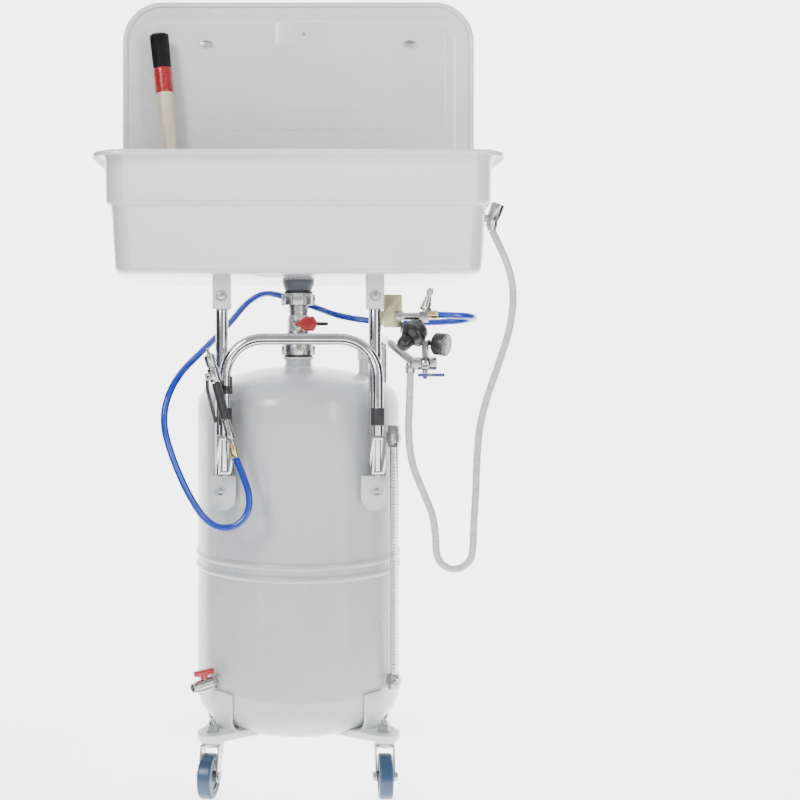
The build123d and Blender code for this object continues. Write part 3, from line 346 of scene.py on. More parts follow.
def smooth_by_angle(mesh, angle=35):
    """Smooth shading, but for edges sharper than the angle."""
    mesh.shade_smooth()
    mesh.set_sharp_from_angle(angle=radians(angle))


WELD_DISTANCE = 0.02 * MM
FLAT_ANGLE = radians(0.6)
CORNER_ANGLE = radians(34)


def refined(node, edge):
    """Finished version of a CAD node: welded copy with rounded edges, edge in millimetres."""
    copy = NODES[node].data.copy()
    copy.name = node + "_finished"
    copy.materials.clear()
    work = bmesh.new()
    work.from_mesh(copy)
    bmesh.ops.remove_doubles(work, verts=work.verts, dist=WELD_DISTANCE)
    bmesh.ops.dissolve_limit(work, angle_limit=FLAT_ANGLE, verts=work.verts, edges=work.edges)
    corners = [e for e in work.edges if len(e.link_faces) == 2 and e.calc_face_angle(0) > CORNER_ANGLE]
    bmesh.ops.bevel(
        work,
        geom=corners,
        offset=edge * MM,
        offset_type="OFFSET",
        segments=2,
        profile=0.5,
        affect="EDGES",
        clamp_overlap=True,
    )
    work.to_mesh(copy)
    work.free()
    smooth_by_angle(copy)
    return new_piece(node + "_finished", copy, BODY_OF[node], SLOT_OF[node], [node])


# ---------------------------------------------------------------- shapes
def arc(centre, radius, start, end, steps):
    """Points on a circle, angles in degrees."""
    turns = [radians(start + (end - start) * i / steps) for i in range(steps + 1)]
    return [(centre[0] + radius * cos(t), centre[1] + radius * sin(t)) for t in turns]


POINT_DISTANCE = 0.005 * MM


def ring_mesh(name, rings, capped=True, closed=False):
    """Skin over rings of equally many points, capped at both ends or closed end to start."""
    count = len(rings[0])
    points = [point for ring in rings for point in ring]
    faces = []
    spans = [(i, i + 1) for i in range(len(rings) - 1)]
    if closed:
        spans.append((len(rings) - 1, 0))
    for low, high in spans:
        for j in range(count):
            k = (j + 1) % count
            faces.append((low * count + j, low * count + k, high * count + k, high * count + j))
    if capped and not closed:
        faces.append(tuple(reversed(range(count))))
        faces.append(tuple((len(rings) - 1) * count + j for j in range(count)))
    mesh = bpy.data.meshes.new(name)
    mesh.from_pydata(points, [], faces)
    work = bmesh.new()
    work.from_mesh(mesh)
    bmesh.ops.remove_doubles(work, verts=work.verts, dist=POINT_DISTANCE)
    bmesh.ops.recalc_face_normals(work, faces=work.faces)
    work.to_mesh(mesh)
    work.free()
    smooth_by_angle(mesh)
    return mesh


def full_turn(steps, first=0.0):
    """Angles evenly spaced round one turn, the first one a share of a step on."""
    return [2 * pi * (i + first) / steps for i in range(steps)]


def lathe_mesh(name, profile, place=Matrix(), segments=96, closed=False):
    """Skin turned about the local Z of place through (radius, height) points; closed makes a ring."""
    turns = full_turn(segments)
    rings = []
    for radius, height in profile:
        rings.append([place @ Vector((radius * cos(t), radius * sin(t), height)) for t in turns])
    return ring_mesh(name, rings, closed=closed)


def rounded_rectangle(half_width, half_depth, corner, centre_y, height, steps=10):
    """Level ring with round corners."""
    ring = []
    for turn, x_side, y_side in ((0, 1, 1), (90, -1, 1), (180, -1, -1), (270, 1, -1)):
        centre = (x_side * (half_width - corner), centre_y + y_side * (half_depth - corner))
        ring += [(x, y, height) for x, y in arc(centre, corner, turn, turn + 90, steps)]
    return ring


def axis_place(origin, direction):
    """Matrix at origin whose local Z is direction."""
    turn = Vector(direction).normalized().to_track_quat("Z", "Y").to_matrix().to_4x4()
    return Matrix.Translation(origin) @ turn


def plate_mesh(name, outline, low, high):
    """Flat plate: a level outline of (x, y) points from one height to another."""
    return ring_mesh(name, [[(x, y, z) for x, y in outline] for z in (low, high)])


def joined(name, meshes):
    """One mesh of several."""
    work = bmesh.new()
    for mesh in meshes:
        work.from_mesh(mesh)
    whole = bpy.data.meshes.new(name)
    work.to_mesh(whole)
    work.free()
    smooth_by_angle(whole)
    return whole


# ---------------------------------------------------------------- parts that repeat
def set_out_tree():
    """Geometry nodes: a part on every point, turned to the point's facing, with a fixed random lean."""
    tree = bpy.data.node_groups.new("set_out_parts", "GeometryNodeTree")
    for label, kind, where in (
        ("Geometry", "NodeSocketGeometry", "INPUT"),
        ("Part", "NodeSocketObject", "INPUT"),
        ("Size", "NodeSocketFloat", "INPUT"),
        ("Lean", "NodeSocketFloat", "INPUT"),
        ("Size spread", "NodeSocketFloat", "INPUT"),
        ("Seed", "NodeSocketInt", "INPUT"),
        ("Finish", "NodeSocketMaterial", "INPUT"),
        ("Geometry", "NodeSocketGeometry", "OUTPUT"),
    ):
        tree.interface.new_socket(name=label, in_out=where, socket_type=kind)

    def node(kind, **settings):
        made = tree.nodes.new(kind)
        for setting, value in settings.items():
            setattr(made, setting, value)
        return made

    link = tree.links.new
    given = node("NodeGroupInput")
    part = node("GeometryNodeObjectInfo")
    facing = node("GeometryNodeInputNamedAttribute", data_type="FLOAT_VECTOR")
    facing.inputs["Name"].default_value = "facing"
    turned = node("FunctionNodeAlignRotationToVector", axis="Z")
    least_lean = node("ShaderNodeMath", operation="MULTIPLY")
    least_lean.inputs[1].default_value = -1
    low_corner = node("ShaderNodeCombineXYZ")
    high_corner = node("ShaderNodeCombineXYZ")
    lean = node("FunctionNodeRandomValue", data_type="FLOAT_VECTOR")
    leant = node("FunctionNodeRotateRotation", rotation_space="LOCAL")
    smallest = node("ShaderNodeMath", operation="SUBTRACT")
    smallest.inputs[0].default_value = 1
    share = node("FunctionNodeRandomValue", data_type="FLOAT")
    share.inputs[3].default_value = 1
    scale = node("ShaderNodeMath", operation="MULTIPLY")
    copies = node("GeometryNodeInstanceOnPoints")
    real = node("GeometryNodeRealizeInstances")
    finish = node("GeometryNodeSetMaterial")
    result = node("NodeGroupOutput")

    link(given.outputs["Part"], part.inputs["Object"])
    link(facing.outputs["Attribute"], turned.inputs["Vector"])
    link(given.outputs["Lean"], least_lean.inputs[0])
    for axis in ("X", "Y"):
        link(least_lean.outputs[0], low_corner.inputs[axis])
        link(given.outputs["Lean"], high_corner.inputs[axis])
    link(low_corner.outputs[0], lean.inputs[0])
    link(high_corner.outputs[0], lean.inputs[1])
    link(given.outputs["Seed"], lean.inputs["Seed"])
    link(turned.outputs["Rotation"], leant.inputs["Rotation"])
    link(lean.outputs[0], leant.inputs["Rotate By"])
    link(given.outputs["Size spread"], smallest.inputs[1])
    link(smallest.outputs[0], share.inputs[2])
    link(given.outputs["Seed"], share.inputs["Seed"])
    link(share.outputs[1], scale.inputs[0])
    link(given.outputs["Size"], scale.inputs[1])
    link(given.outputs["Geometry"], copies.inputs["Points"])
    link(part.outputs["Geometry"], copies.inputs["Instance"])
    link(leant.outputs["Rotation"], copies.inputs["Rotation"])
    link(scale.outputs[0], copies.inputs["Scale"])
    link(copies.outputs["Instances"], real.inputs["Geometry"])
    link(real.outputs["Geometry"], finish.inputs["Geometry"])
    link(given.outputs["Finish"], finish.inputs["Material"])
    link(finish.outputs["Geometry"], result.inputs["Geometry"])
    return tree


SET_OUT = set_out_tree()


def set_out(name, part_mesh, places, facings, slot, lean=0.0, spread=0.0, seed=1, angle=35):
    """Mesh with part_mesh set out on places, each turned to its facing."""
    bed = bpy.data.meshes.new(name + "_points")
    bed.from_pydata([tuple(place) for place in places], [], [])
    facing = bed.attributes.new("facing", "FLOAT_VECTOR", "POINT")
    for entry, direction in zip(facing.data, facings):
        entry.vector = Vector(direction).normalized()
    part = bpy.data.objects.new(name + "_part", part_mesh)
    holder = bpy.data.objects.new(name + "_holder", bed)
    for thing in (part, holder):
        bpy.context.scene.collection.objects.link(thing)
    growth = holder.modifiers.new("set_out", "NODES")
    growth.node_group = SET_OUT
    settings = {
        "Part": part,
        "Size": 1.0,
        "Lean": lean,
        "Size spread": spread,
        "Seed": seed,
        "Finish": FINISHES[slot],
    }
    for socket in SET_OUT.interface.items_tree:
        if socket.in_out == "INPUT" and socket.name in settings:
            growth[socket.identifier] = settings[socket.name]
    bpy.context.view_layer.update()
    evaluated = holder.evaluated_get(bpy.context.evaluated_depsgraph_get())
    mesh = bpy.data.meshes.new_from_object(evaluated)
    mesh.name = name
    holder.modifiers.remove(growth)
    for thing in (part, holder):
        bpy.data.objects.remove(thing)
    if "facing" in mesh.attributes:
        mesh.attributes.remove(mesh.attributes["facing"])
    smooth_by_angle(mesh, angle)
    return mesh


# ---------------------------------------------------------------- tank
CROWN = 450 * MM
KNUCKLE = 50 * MM
KNUCKLE_REACH = TANK_RADIUS - KNUCKLE
CROWN_RISE = sqrt((CROWN - KNUCKLE) ** 2 - KNUCKLE_REACH**2)
CROWN_TURN = degrees(acos(CROWN_RISE / (CROWN - KNUCKLE)))
BEAD_HEIGHTS = (0.381, 0.403)
BEAD_RADIUS = 8 * MM
SEAM_PLACE = 22 * MM
SEAM_HALF = 4 * MM
SEAM_PROUD = 0.7 * MM


def dome_height(x, y):
    """Height of the tank's upper end at a place seen from above."""
    reach = sqrt(x * x + (y - TANK_Y) ** 2)
    if reach < KNUCKLE_REACH * CROWN / (CROWN - KNUCKLE):
        return TANK_TOP - CROWN + sqrt(CROWN**2 - reach**2)
    rise = sqrt(max(0.0, KNUCKLE**2 - (reach - KNUCKLE_REACH) ** 2))
    return TANK_TOP - CROWN + CROWN_RISE + rise


def seam(height):
    """Outline of the weld seam round the tank at a height."""
    crest = (TANK_RADIUS + SEAM_PROUD, height)
    return [(TANK_RADIUS, height - SEAM_HALF), crest, (TANK_RADIUS, height + SEAM_HALF)]


def make_tank():
    """Pressure tank: dished ends, two rolled beads and a weld seam where each end is joined on."""
    low, high = shell_low.z, TANK_TOP
    low_tangent, high_tangent = low + CROWN - CROWN_RISE, high - CROWN + CROWN_RISE
    profile = arc((0, low + CROWN), CROWN, -90, -90 + CROWN_TURN, 14)
    profile += arc((KNUCKLE_REACH, low_tangent), KNUCKLE, -90 + CROWN_TURN, 0, 12)[1:]
    profile += seam(low_tangent + SEAM_PLACE)
    bead_sunk = BEAD_RADIUS - BEAD_PROUD
    bead_turn = degrees(acos(bead_sunk / BEAD_RADIUS))
    for height in BEAD_HEIGHTS:
        profile += arc((TANK_RADIUS - bead_sunk, height), BEAD_RADIUS, -bead_turn, bead_turn, 10)
    profile += seam(high_tangent - SEAM_PLACE)
    profile += arc((KNUCKLE_REACH, high_tangent), KNUCKLE, 0, 90 - CROWN_TURN, 12)
    profile += arc((0, high - CROWN), CROWN, 90 - CROWN_TURN, 90, 14)[1:]
    profile[0] = (POLE, low)
    profile[-1] = (POLE, high)
    mesh = lathe_mesh("tank", profile, Matrix.Translation((0, TANK_Y, 0)), 144)
    new_piece("tank", mesh, "root", "tank_paint", ["tank_shell"])


RIPPLE_PITCH = 2.2 * MM
RIPPLE_RISE = 0.35


def make_weld(name, radius, x, y, size=0.004):
    """Weld bead laid round a neck: a ring of overlapping ripples."""
    steps = max(24, round(2 * pi * radius / RIPPLE_PITCH))
    half = arc((0, 0), size / 2, -60, 60, 4)
    profile = [(0.2 * MM, -size / 2), *half, (0.2 * MM, size / 2)]
    ripple = lathe_mesh(name + "_ripple", profile, segments=8)
    turns = full_turn(steps)
    spots = [(x + radius * cos(t), y + radius * sin(t)) for t in turns]
    places = [(px, py, dome_height(px, py)) for px, py in spots]
    facings = [(-sin(t), cos(t), RIPPLE_RISE) for t in turns]
    mesh = set_out(name, ripple, places, facings, "tank_paint", lean=0.12, spread=0.15, seed=4, angle=60)
    new_piece(name, mesh, "root", "tank_paint")


# ---------------------------------------------------------------- basin
SHEET = 2 * MM
LIP = 9 * MM
ROLL = 4 * MM
LEDGE_RISE = 116 * MM
RIM_CORNER = 58 * MM
BOTTOM_HOLE = 24 * MM
BOTTOM_FLAT = (0.150, 0.040)

# Half width, corner radius and height over the ledge, up the outside and down the inside.
LEDGE_OUTSIDE = (
    (0.3255, 0.042, -0.0040),
    (0.3265, 0.043, -0.0005),
    (0.3300, 0.045, 0.0035),
    (0.3338, 0.047, 0.0075),
    (0.3350, 0.048, 0.0120),
)
LEDGE_INSIDE = (
    (0.3332, 0.0460, 0.0130),
    (0.3320, 0.0455, 0.0100),
    (0.3280, 0.0430, 0.0055),
    (0.3245, 0.0410, 0.0015),
    (0.3235, 0.0400, -0.0030),
)


def make_basin():
    """Pressed basin: drain hole, rounded bottom, ledge for the grid, rolled rim, turned-down lip."""
    wall_low, wall_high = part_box("basin_wall")
    floor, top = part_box("basin_bowl")[0].z, wall_high.z
    rim_x, rim_y = wall_high.x, (wall_high.y - wall_low.y) / 2
    middle = wall_high.y - rim_y
    ledge = floor + LEDGE_RISE
    rings = []

    def ring(half_width, corner, height):
        half_depth = rim_y - (rim_x - half_width)
        rings.append(rounded_rectangle(half_width, half_depth, corner, middle, height))

    def drain(height):
        rings.append(rounded_rectangle(BOTTOM_HOLE, BOTTOM_HOLE, BOTTOM_HOLE, TANK_Y, height))

    drain(floor)
    ring(*BOTTOM_FLAT, floor)
    for reach, height in arc((0.307, floor + 0.013), 0.013, -90, 0, 7):
        ring(reach, 0.040, height)
    for half_width, corner, rise in LEDGE_OUTSIDE:
        ring(half_width, corner, ledge + rise)
    ring(0.3358, 0.048, top - SHEET - 0.003)
    ring(0.3375, 0.049, top - SHEET)
    ring(rim_x - SHEET - 0.002, 0.055, top - SHEET)
    ring(rim_x - SHEET, 0.056, top - SHEET - 0.002)
    ring(rim_x - SHEET, 0.056, top - LIP)
    ring(rim_x - SHEET / 2, 0.057, top - LIP)
    ring(rim_x, RIM_CORNER, top - LIP + 0.001)
    for reach, height in arc((rim_x - ROLL, top - ROLL), ROLL, 0, 90, 6):
        ring(reach, RIM_CORNER - (rim_x - reach), height)
    for reach, height in arc((0.3388, top - 0.005), 0.005, 90, 180, 6):
        ring(reach, 0.050, height)
    for half_width, corner, rise in LEDGE_INSIDE:
        ring(half_width, corner, ledge + rise)
    for reach, height in arc((0.307, floor + SHEET + 0.011), 0.011, 0, -90, 7):
        ring(reach, 0.038, height)
    ring(*BOTTOM_FLAT, floor + SHEET)
    drain(floor + SHEET)
    mesh = ring_mesh("basin_pressing", rings, closed=True)
    new_piece("basin_pressing", mesh, "root", "basin_enamel", ["basin_bowl", "basin_wall"])


GRID_PITCH = 16 * MM
GRID_HOLE = 5 * MM
GRID_BORDER = 12 * MM
GRID_CORNER = 42 * MM
HOLE_SIDES = 12


def make_grid():
    """Perforated work grid: a field of round holes inside a plain border."""
    low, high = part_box("work_grid")
    middle = (low.y + high.y) / 2
    half_x, half_y = (high.x - low.x) / 2, (high.y - low.y) / 2
    columns = int(2 * (half_x - GRID_BORDER) / GRID_PITCH)
    rows = int(2 * (half_y - GRID_BORDER) / GRID_PITCH)
    field_x, field_y = columns * GRID_PITCH / 2, rows * GRID_PITCH / 2
    turns = full_turn(HOLE_SIDES, first=0.5)
    square = []
    for t in turns:
        reach = GRID_PITCH / 2 / max(abs(cos(t)), abs(sin(t)))
        square.append((reach * cos(t), reach * sin(t)))
    hole = [(GRID_HOLE * cos(t), GRID_HOLE * sin(t)) for t in turns]
    thickness = high.z - low.z
    tile_rings = []
    for outline, height in ((square, 0.0), (hole, 0.0), (hole, thickness), (square, thickness)):
        tile_rings.append([(x, y, height) for x, y in outline])
    tile = ring_mesh("grid_tile", tile_rings, capped=False)
    # The tile at each corner of the field is left out.
    places = [
        (x, middle + y, low.z)
        for x in [GRID_PITCH * (i + 0.5) - field_x for i in range(columns)]
        for y in [GRID_PITCH * (j + 0.5) - field_y for j in range(rows)]
        if abs(x) < field_x - GRID_PITCH or abs(y) < field_y - GRID_PITCH
    ]
    field = set_out("grid_field", tile, places, [(0, 0, 1)] * len(places), "basin_enamel")
    field_low = rounded_rectangle(field_x, field_y, MM, middle, low.z)
    edge_low = rounded_rectangle(half_x, half_y, GRID_CORNER, middle, low.z)
    edge_high = rounded_rectangle(half_x, half_y, GRID_CORNER, middle, high.z)
    field_high = rounded_rectangle(field_x, field_y, MM, middle, high.z)
    border = ring_mesh("grid_border", [field_low, edge_low, edge_high, field_high], closed=True)
    mesh = joined("work_grid_plate", [field, border])
    new_piece("work_grid_plate", mesh, BODY_OF["work_grid"], "basin_enamel", ["work_grid"])


# ---------------------------------------------------------------- splash guard
GUARD_CORNER = 84 * MM
FIELD_START = 1.2
FIELD_FOOT = 1.102


def arched_ring(inset, depth, low, flat_depth, edge_start, steps=14):
    """Upright ring with round upper corners; its level lower edge stays at flat_depth."""
    guard_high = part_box("backsplash")[1]
    half, top = guard_high.x - inset, guard_high.z - inset
    corner = max(0.004, GUARD_CORNER - inset)
    start = max(edge_start, low + 0.004)
    points = [(-half, flat_depth, low), (-half, flat_depth, start - 0.0025), (-half, depth, start)]
    points += [(x, depth, z) for x, z in arc((corner - half, top - corner), corner, 180, 90, steps)]
    points += [(x, depth, z) for x, z in arc((half - corner, top - corner), corner, 90, 0, steps)]
    points += [(half, depth, start), (half, flat_depth, start - 0.0025), (half, flat_depth, low)]
    return points


def make_backsplash():
    """Sheet-metal guard with a rolled edge and a recessed field; its mounting pad at the top is made apart.
    """
    low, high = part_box("backsplash")
    front = high.y - 0.005
    rim_front, field_front = low.y, high.y - 0.002
    rim_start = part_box("basin_wall")[1].z + 0.001
    rings = []
    for inset, depth, bottom in (
        (0.0800, field_front, FIELD_FOOT + 0.0800),
        (0.0460, field_front, FIELD_FOOT + 0.0460),
        (0.0425, field_front - 0.0004, FIELD_FOOT + 0.0425),
        (0.0385, front + 0.0006, 1.139),
        (0.0360, front, 1.136),
    ):
        rings.append(arched_ring(inset, depth, bottom, depth, FIELD_START))
    for inset, depth in (
        (0.014, front),
        (0.0120, front - 0.0006),
        (0.0104, front - 0.0028),
        (0.0098, rim_front + 0.0022),
        (0.0082, rim_front + 0.0007),
        (0.0055, rim_front),
        (0.0028, rim_front + 0.0006),
        (0.0008, rim_front + 0.0022),
        (0.0, rim_front + 0.0045),
        (0.0, front + 0.0010),
        (0.0008, front + 0.0020),
        (0.036, front + 0.0020),
        (0.040, high.y),
        (0.060, high.y),
    ):
        bottom = low.z if inset < 0.03 else 1.100 + inset
        rings.append(arched_ring(inset, depth, bottom, min(max(depth, front), high.y), rim_start))
    mesh = ring_mesh("splash_guard", rings)
    new_piece("splash_guard", mesh, "root", "splash_paint", ["backsplash"])


PAD_MIDDLE = 5 * MM
PAD_HALF = 54 * MM
PAD_CORNER = 10 * MM


def make_splash_pad():
    """Small plate at the top middle of the splash guard, with a screw."""
    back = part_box("backsplash")[1]
    top, bottom, front = back.z - 0.040, back.z - 0.094, back.y - 0.0035
    left, right = PAD_MIDDLE - PAD_HALF, PAD_MIDDLE + PAD_HALF
    outline = [(right, top), (left, top)]
    outline += arc((left + PAD_CORNER, bottom + PAD_CORNER), PAD_CORNER, 180, 270, 6)
    outline += arc((right - PAD_CORNER, bottom + PAD_CORNER), PAD_CORNER, 270, 360, 6)
    rings = []
    for share, depth in ((1.0, back.y - 0.0019), (1.0, front + 0.0004), (0.985, front)):
        ring = [(PAD_MIDDLE + (x - PAD_MIDDLE) * share, depth, top + (z - top) * share) for x, z in outline]
        rings.append(ring)
    new_piece("splash_pad", ring_mesh("splash_pad", rings), "root", "splash_paint")
    place = axis_place((0.010, front, top - 0.026), (0, -1, 0))
    head = [(POLE, 0.0), (0.004, 0.0), (0.0036, 0.0012), (POLE, 0.0018)]
    new_piece("splash_screw", lathe_mesh("splash_screw", head, place, 24), "root", "zinc")


def make_splash_folds():
    """Two pressed lines across the splash guard and an upright fold near its right edge."""
    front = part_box("backsplash")[1].y - 0.002
    for name, start, end, width in (
        ("upper_fold", (-0.020, 1.288), (0.148, 1.288), 0.0030),
        ("lower_fold", (-0.150, 1.246), (0.240, 1.246), 0.0022),
        ("side_fold", (0.313, 1.160), (0.313, 1.450), 0.0050),
    ):
        along = Vector((end[0] - start[0], 0, end[1] - start[1]))
        side = along.cross(Vector((0, 1, 0))).normalized() * width
        rings = []
        for share, swell in ((0.0, 0.05), (0.03, 0.8), (0.1, 1.0), (0.9, 1.0), (0.97, 0.8), (1.0, 0.05)):
            middle = Vector((start[0], front + 0.0008, start[1])) + along * share
            turns = [pi * i / 8 for i in range(9)]
            ring = [middle + side * cos(t) * swell - Vector((0, 0.0022 * sin(t) * swell, 0)) for t in turns]
            rings.append(ring)
        new_piece("splash_" + name, ring_mesh("splash_" + name, rings), "root", "splash_paint")


# ---------------------------------------------------------------- chrome pull handle
HANDLE_BEND = 66 * MM


def tube_mesh(name, path, radius, across, sides):
    """Round tube along a flat path; across is the normal of the path's plane."""
    across = Vector(across)
    path = [Vector(point) for point in path]
    rings = []
    for i, point in enumerate(path):
        tangent = (path[min(i + 1, len(path) - 1)] - path[max(i - 1, 0)]).normalized()
        side = tangent.cross(across)
        rings.append([point + radius * (side * cos(t) + across * sin(t)) for t in full_turn(sides)])
    return ring_mesh(name, rings)


def make_pull_handle():
    """Bent chrome tube: two legs, two wide bends and the top bar."""
    low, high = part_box("pull_handle")
    radius = (high.y - low.y) / 2
    depth = (low.y + high.y) / 2
    left, right, top = low.x + radius, high.x - radius, high.z - radius
    bend_z = top - HANDLE_BEND
    path = [(left, low.z), (left, bend_z)]
    path += arc((left + HANDLE_BEND, bend_z), HANDLE_BEND, 180, 90, 20)[1:]
    path += arc((right - HANDLE_BEND, bend_z), HANDLE_BEND, 90, 0, 20)
    path.append((right, low.z))
    mesh = tube_mesh("pull_handle_tube", [(x, depth, z) for x, z in path], radius, (0, 1, 0), 40)
    new_piece("pull_handle_tube", mesh, "root", "chrome_tube", ["pull_handle"])


# ---------------------------------------------------------------- brush
BRUSH_FOOT = (-0.249, TANK_Y + 0.197, 1.0384)
BRUSH_AXIS = (-sin(radians(6)), 0.052, cos(radians(6)))
HANDLE_END = 0.276
FERRULE_END = 0.328
BRISTLE_LENGTH = 0.073
BRISTLE_COUNT = 620
BUNDLE_RADIUS = 18.3 * MM
GOLDEN_TURN = radians(137.508)
GRIP_OUTLINE = (
    (POLE, 0.0),
    (0.0085, 0.0004),
    (0.0120, 0.0030),
    (0.0142, 0.0095),
    (0.0150, 0.030),
    (0.0151, 0.070),
    (0.0144, 0.110),
    (0.0136, 0.150),
    (0.0139, 0.175),
    (0.0150, 0.205),
    (0.0165, 0.235),
    (0.0174, 0.262),
    (0.0175, HANDLE_END),
    (POLE, HANDLE_END),
)


def make_brush():
    """Parts brush: turned wooden handle, ribbed red ferrule and a dense bundle of bristles."""
    place = axis_place(BRUSH_FOOT, BRUSH_AXIS)
    grip = lathe_mesh("brush_grip", GRIP_OUTLINE, place, 48)
    new_piece("brush_grip", grip, "brush", "wood", ["brush_handle"])
    ferrule = [(POLE, HANDLE_END), (0.0180, HANDLE_END), (0.0185, HANDLE_END + 0.0012)]
    for rib in range(3):
        ferrule += arc((0.0183, HANDLE_END + 0.006 + rib * 0.004), 0.0009, -80, 80, 4)
    for rib in range(2):
        ferrule += arc((0.0188, HANDLE_END + 0.036 + rib * 0.004), 0.0008, -80, 80, 4)
    ferrule += [(0.0193, FERRULE_END - 0.001), (0.0188, FERRULE_END), (POLE, FERRULE_END)]
    mesh = lathe_mesh("brush_collar", ferrule, place, 48)
    new_piece("brush_collar", mesh, "brush", "red_plastic", ["brush_ferrule"])

    hair_rings = []
    for radius, height in ((0.00055, -0.003), (0.00055, BRISTLE_LENGTH * 0.8), (0.00035, BRISTLE_LENGTH)):
        hair_rings.append([(radius * cos(t), radius * sin(t), height) for t in (0.3, 2.4, 4.5)])
    hair = ring_mesh("hair", hair_rings)
    places, facings = [], []
    for i in range(BRISTLE_COUNT):
        reach = BUNDLE_RADIUS * sqrt((i + 0.5) / BRISTLE_COUNT)
        turn = i * GOLDEN_TURN
        offset = Vector((reach * cos(turn), reach * sin(turn), 0))
        places.append(place @ (offset + Vector((0, 0, FERRULE_END))))
        flare = Vector((offset.x * 0.9, offset.y * 0.9, 1.0))
        facings.append(place.to_3x3() @ flare)
    mesh = set_out("brush_hairs", hair, places, facings, "bristle", lean=0.006, spread=0.035, seed=7)
    new_piece("brush_hairs", mesh, "brush", "bristle", ["brush_bristles"])
    core = [(POLE, FERRULE_END), (0.0172, FERRULE_END), (0.0176, 0.385), (0.0150, 0.391), (POLE, 0.393)]
    new_piece("brush_core", lathe_mesh("brush_core", core, place, 40), "brush", "bristle")


# ---------------------------------------------------------------- pressure gauge and sight gauge
GAUGE_CENTRE = (0.250, TANK_Y - 0.158, 0.791)
GAUGE_AXIS = (0.80, -0.58, -0.12)


DIAL_LOW = 7.2 * MM
DIAL_HIGH = 7.8 * MM
DIAL_RADIUS = 17.6 * MM
TICK_COUNT = 31
TICK_SWEEP = 270
TICK = ((0.0115, -0.00022), (0.0148, -0.00022), (0.0148, 0.00022), (0.0115, 0.00022))
NEEDLE = ((-0.004, -0.0006), (0.0125, -0.0002), (0.0125, 0.0002), (-0.004, 0.0006))


def make_gauge_dial():
    """White dial with a ring of ticks, a needle and its hub, behind the lens."""
    place = axis_place(GAUGE_CENTRE, GAUGE_AXIS)
    disc = [(POLE, DIAL_LOW), (DIAL_RADIUS, DIAL_LOW), (DIAL_RADIUS, DIAL_HIGH), (POLE, DIAL_HIGH)]
    new_piece("gauge_dial", lathe_mesh("gauge_dial", disc, place), "root", "white_plastic")
    tick = plate_mesh("tick", TICK, 0.0, 0.35 * MM)
    on_dial = place @ Matrix.Translation((0, 0, DIAL_HIGH))
    marks = []
    for step in range(TICK_COUNT):
        mark = tick.copy()
        mark.transform(on_dial @ Matrix.Rotation(radians(-45 + TICK_SWEEP * step / (TICK_COUNT - 1)), 4, "Z"))
        marks.append(mark)
    needle = plate_mesh("needle", NEEDLE, 8.6 * MM, 9.0 * MM)
    needle.transform(place @ Matrix.Rotation(radians(200), 4, "Z"))
    hub_outline = [(POLE, DIAL_HIGH), (0.0016, DIAL_HIGH), (0.0016, 0.0094), (POLE, 0.0096)]
    hub = lathe_mesh("hub", hub_outline, place, 20)
    new_piece("gauge_marks", joined("gauge_marks", [*marks, needle, hub]), "root", "black_plastic")


SCALE_MARKS = 65
SCALE_PITCH = 6 * MM
LONG_MARK = 46
SHORT_MARK = 26
MARK_PROUD = 0.3 * MM


def make_sight_scale():
    """Red scale marks up the front of the sight gauge's tube, every fifth one longer."""
    low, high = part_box("sight_gauge_tube")
    axis, radius = ((low.x + high.x) / 2, (low.y + high.y) / 2), (high.x - low.x) / 2
    bars = []
    for step in range(1, SCALE_MARKS + 1):
        reach = SHORT_MARK if step % 5 else LONG_MARK
        height = low.z + SCALE_PITCH * (step + 1)
        inner = arc(axis, radius, -90 - reach, -90 + reach, reach // 2)
        outer = arc(axis, radius + MARK_PROUD, -91 + reach, -87 - reach, reach // 2 - 1)
        bars.append(plate_mesh("bar", inner + outer, height, height + MM))
    new_piece("sight_scale", joined("sight_scale", bars), "root", "red_plastic")


# ---------------------------------------------------------------- drain valve knob
KNOB_MIDDLE = 21 * MM
KNOB_RADIUS = 14.5 * MM
KNOB_LOBE = 0.9 * MM
NECK_START = 12 * MM
NECK_WAIST = 10 * MM
STEM_START = 30 * MM


def make_drain_knob():
    """Red moulded knob with six soft lobes, a narrow neck to the valve and a black stem to the right."""
    low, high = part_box("drain_valve_knob")
    front, back = low.y, high.y
    middle_z = (low.z + high.z) / 2
    outline = []
    for t in full_turn(48):
        lobe = KNOB_RADIUS + KNOB_LOBE * cos(6 * t)
        x, z = KNOB_MIDDLE + lobe * cos(t), lobe * sin(t)
        if x <= NECK_WAIST:
            z *= 0.74
        if x <= NECK_START:
            x = NECK_START + (x - NECK_START) * 3.4
        outline.append((x, z))
    rings = []
    for share, depth in (
        (0.80, back),
        (0.94, back - 0.0012),
        (1.00, back - 0.0040),
        (1.00, front + 0.0050),
        (0.93, front + 0.0016),
        (0.74, front + 0.0002),
        (0.45, front),
    ):
        shrunk = [(NECK_START + (x - NECK_START) * share, z * share) for x, z in outline]
        rings.append([(x, depth, middle_z + z) for x, z in shrunk])
    knob = ring_mesh("drain_knob", rings)
    new_piece("drain_knob", knob, "drain_valve", "red_plastic", ["drain_valve_knob"])
    place = axis_place((STEM_START, (front + back) / 2, middle_z), (1, 0, 0))
    reach = high.x - STEM_START
    profile = [(POLE, 0.0), (0.0034, 0.0), (0.0034, reach - 0.004), (0.0028, reach - 0.001), (POLE, reach)]
    stem = lathe_mesh("drain_knob_stem", profile, place, 24)
    new_piece("drain_knob_stem", stem, "drain_valve", "black_plastic")


# ---------------------------------------------------------------- fastenings
WASHER_FACE = TANK_Y - 0.1712
BOLTS = ((0.137, 0.533), (0.135, 0.876))


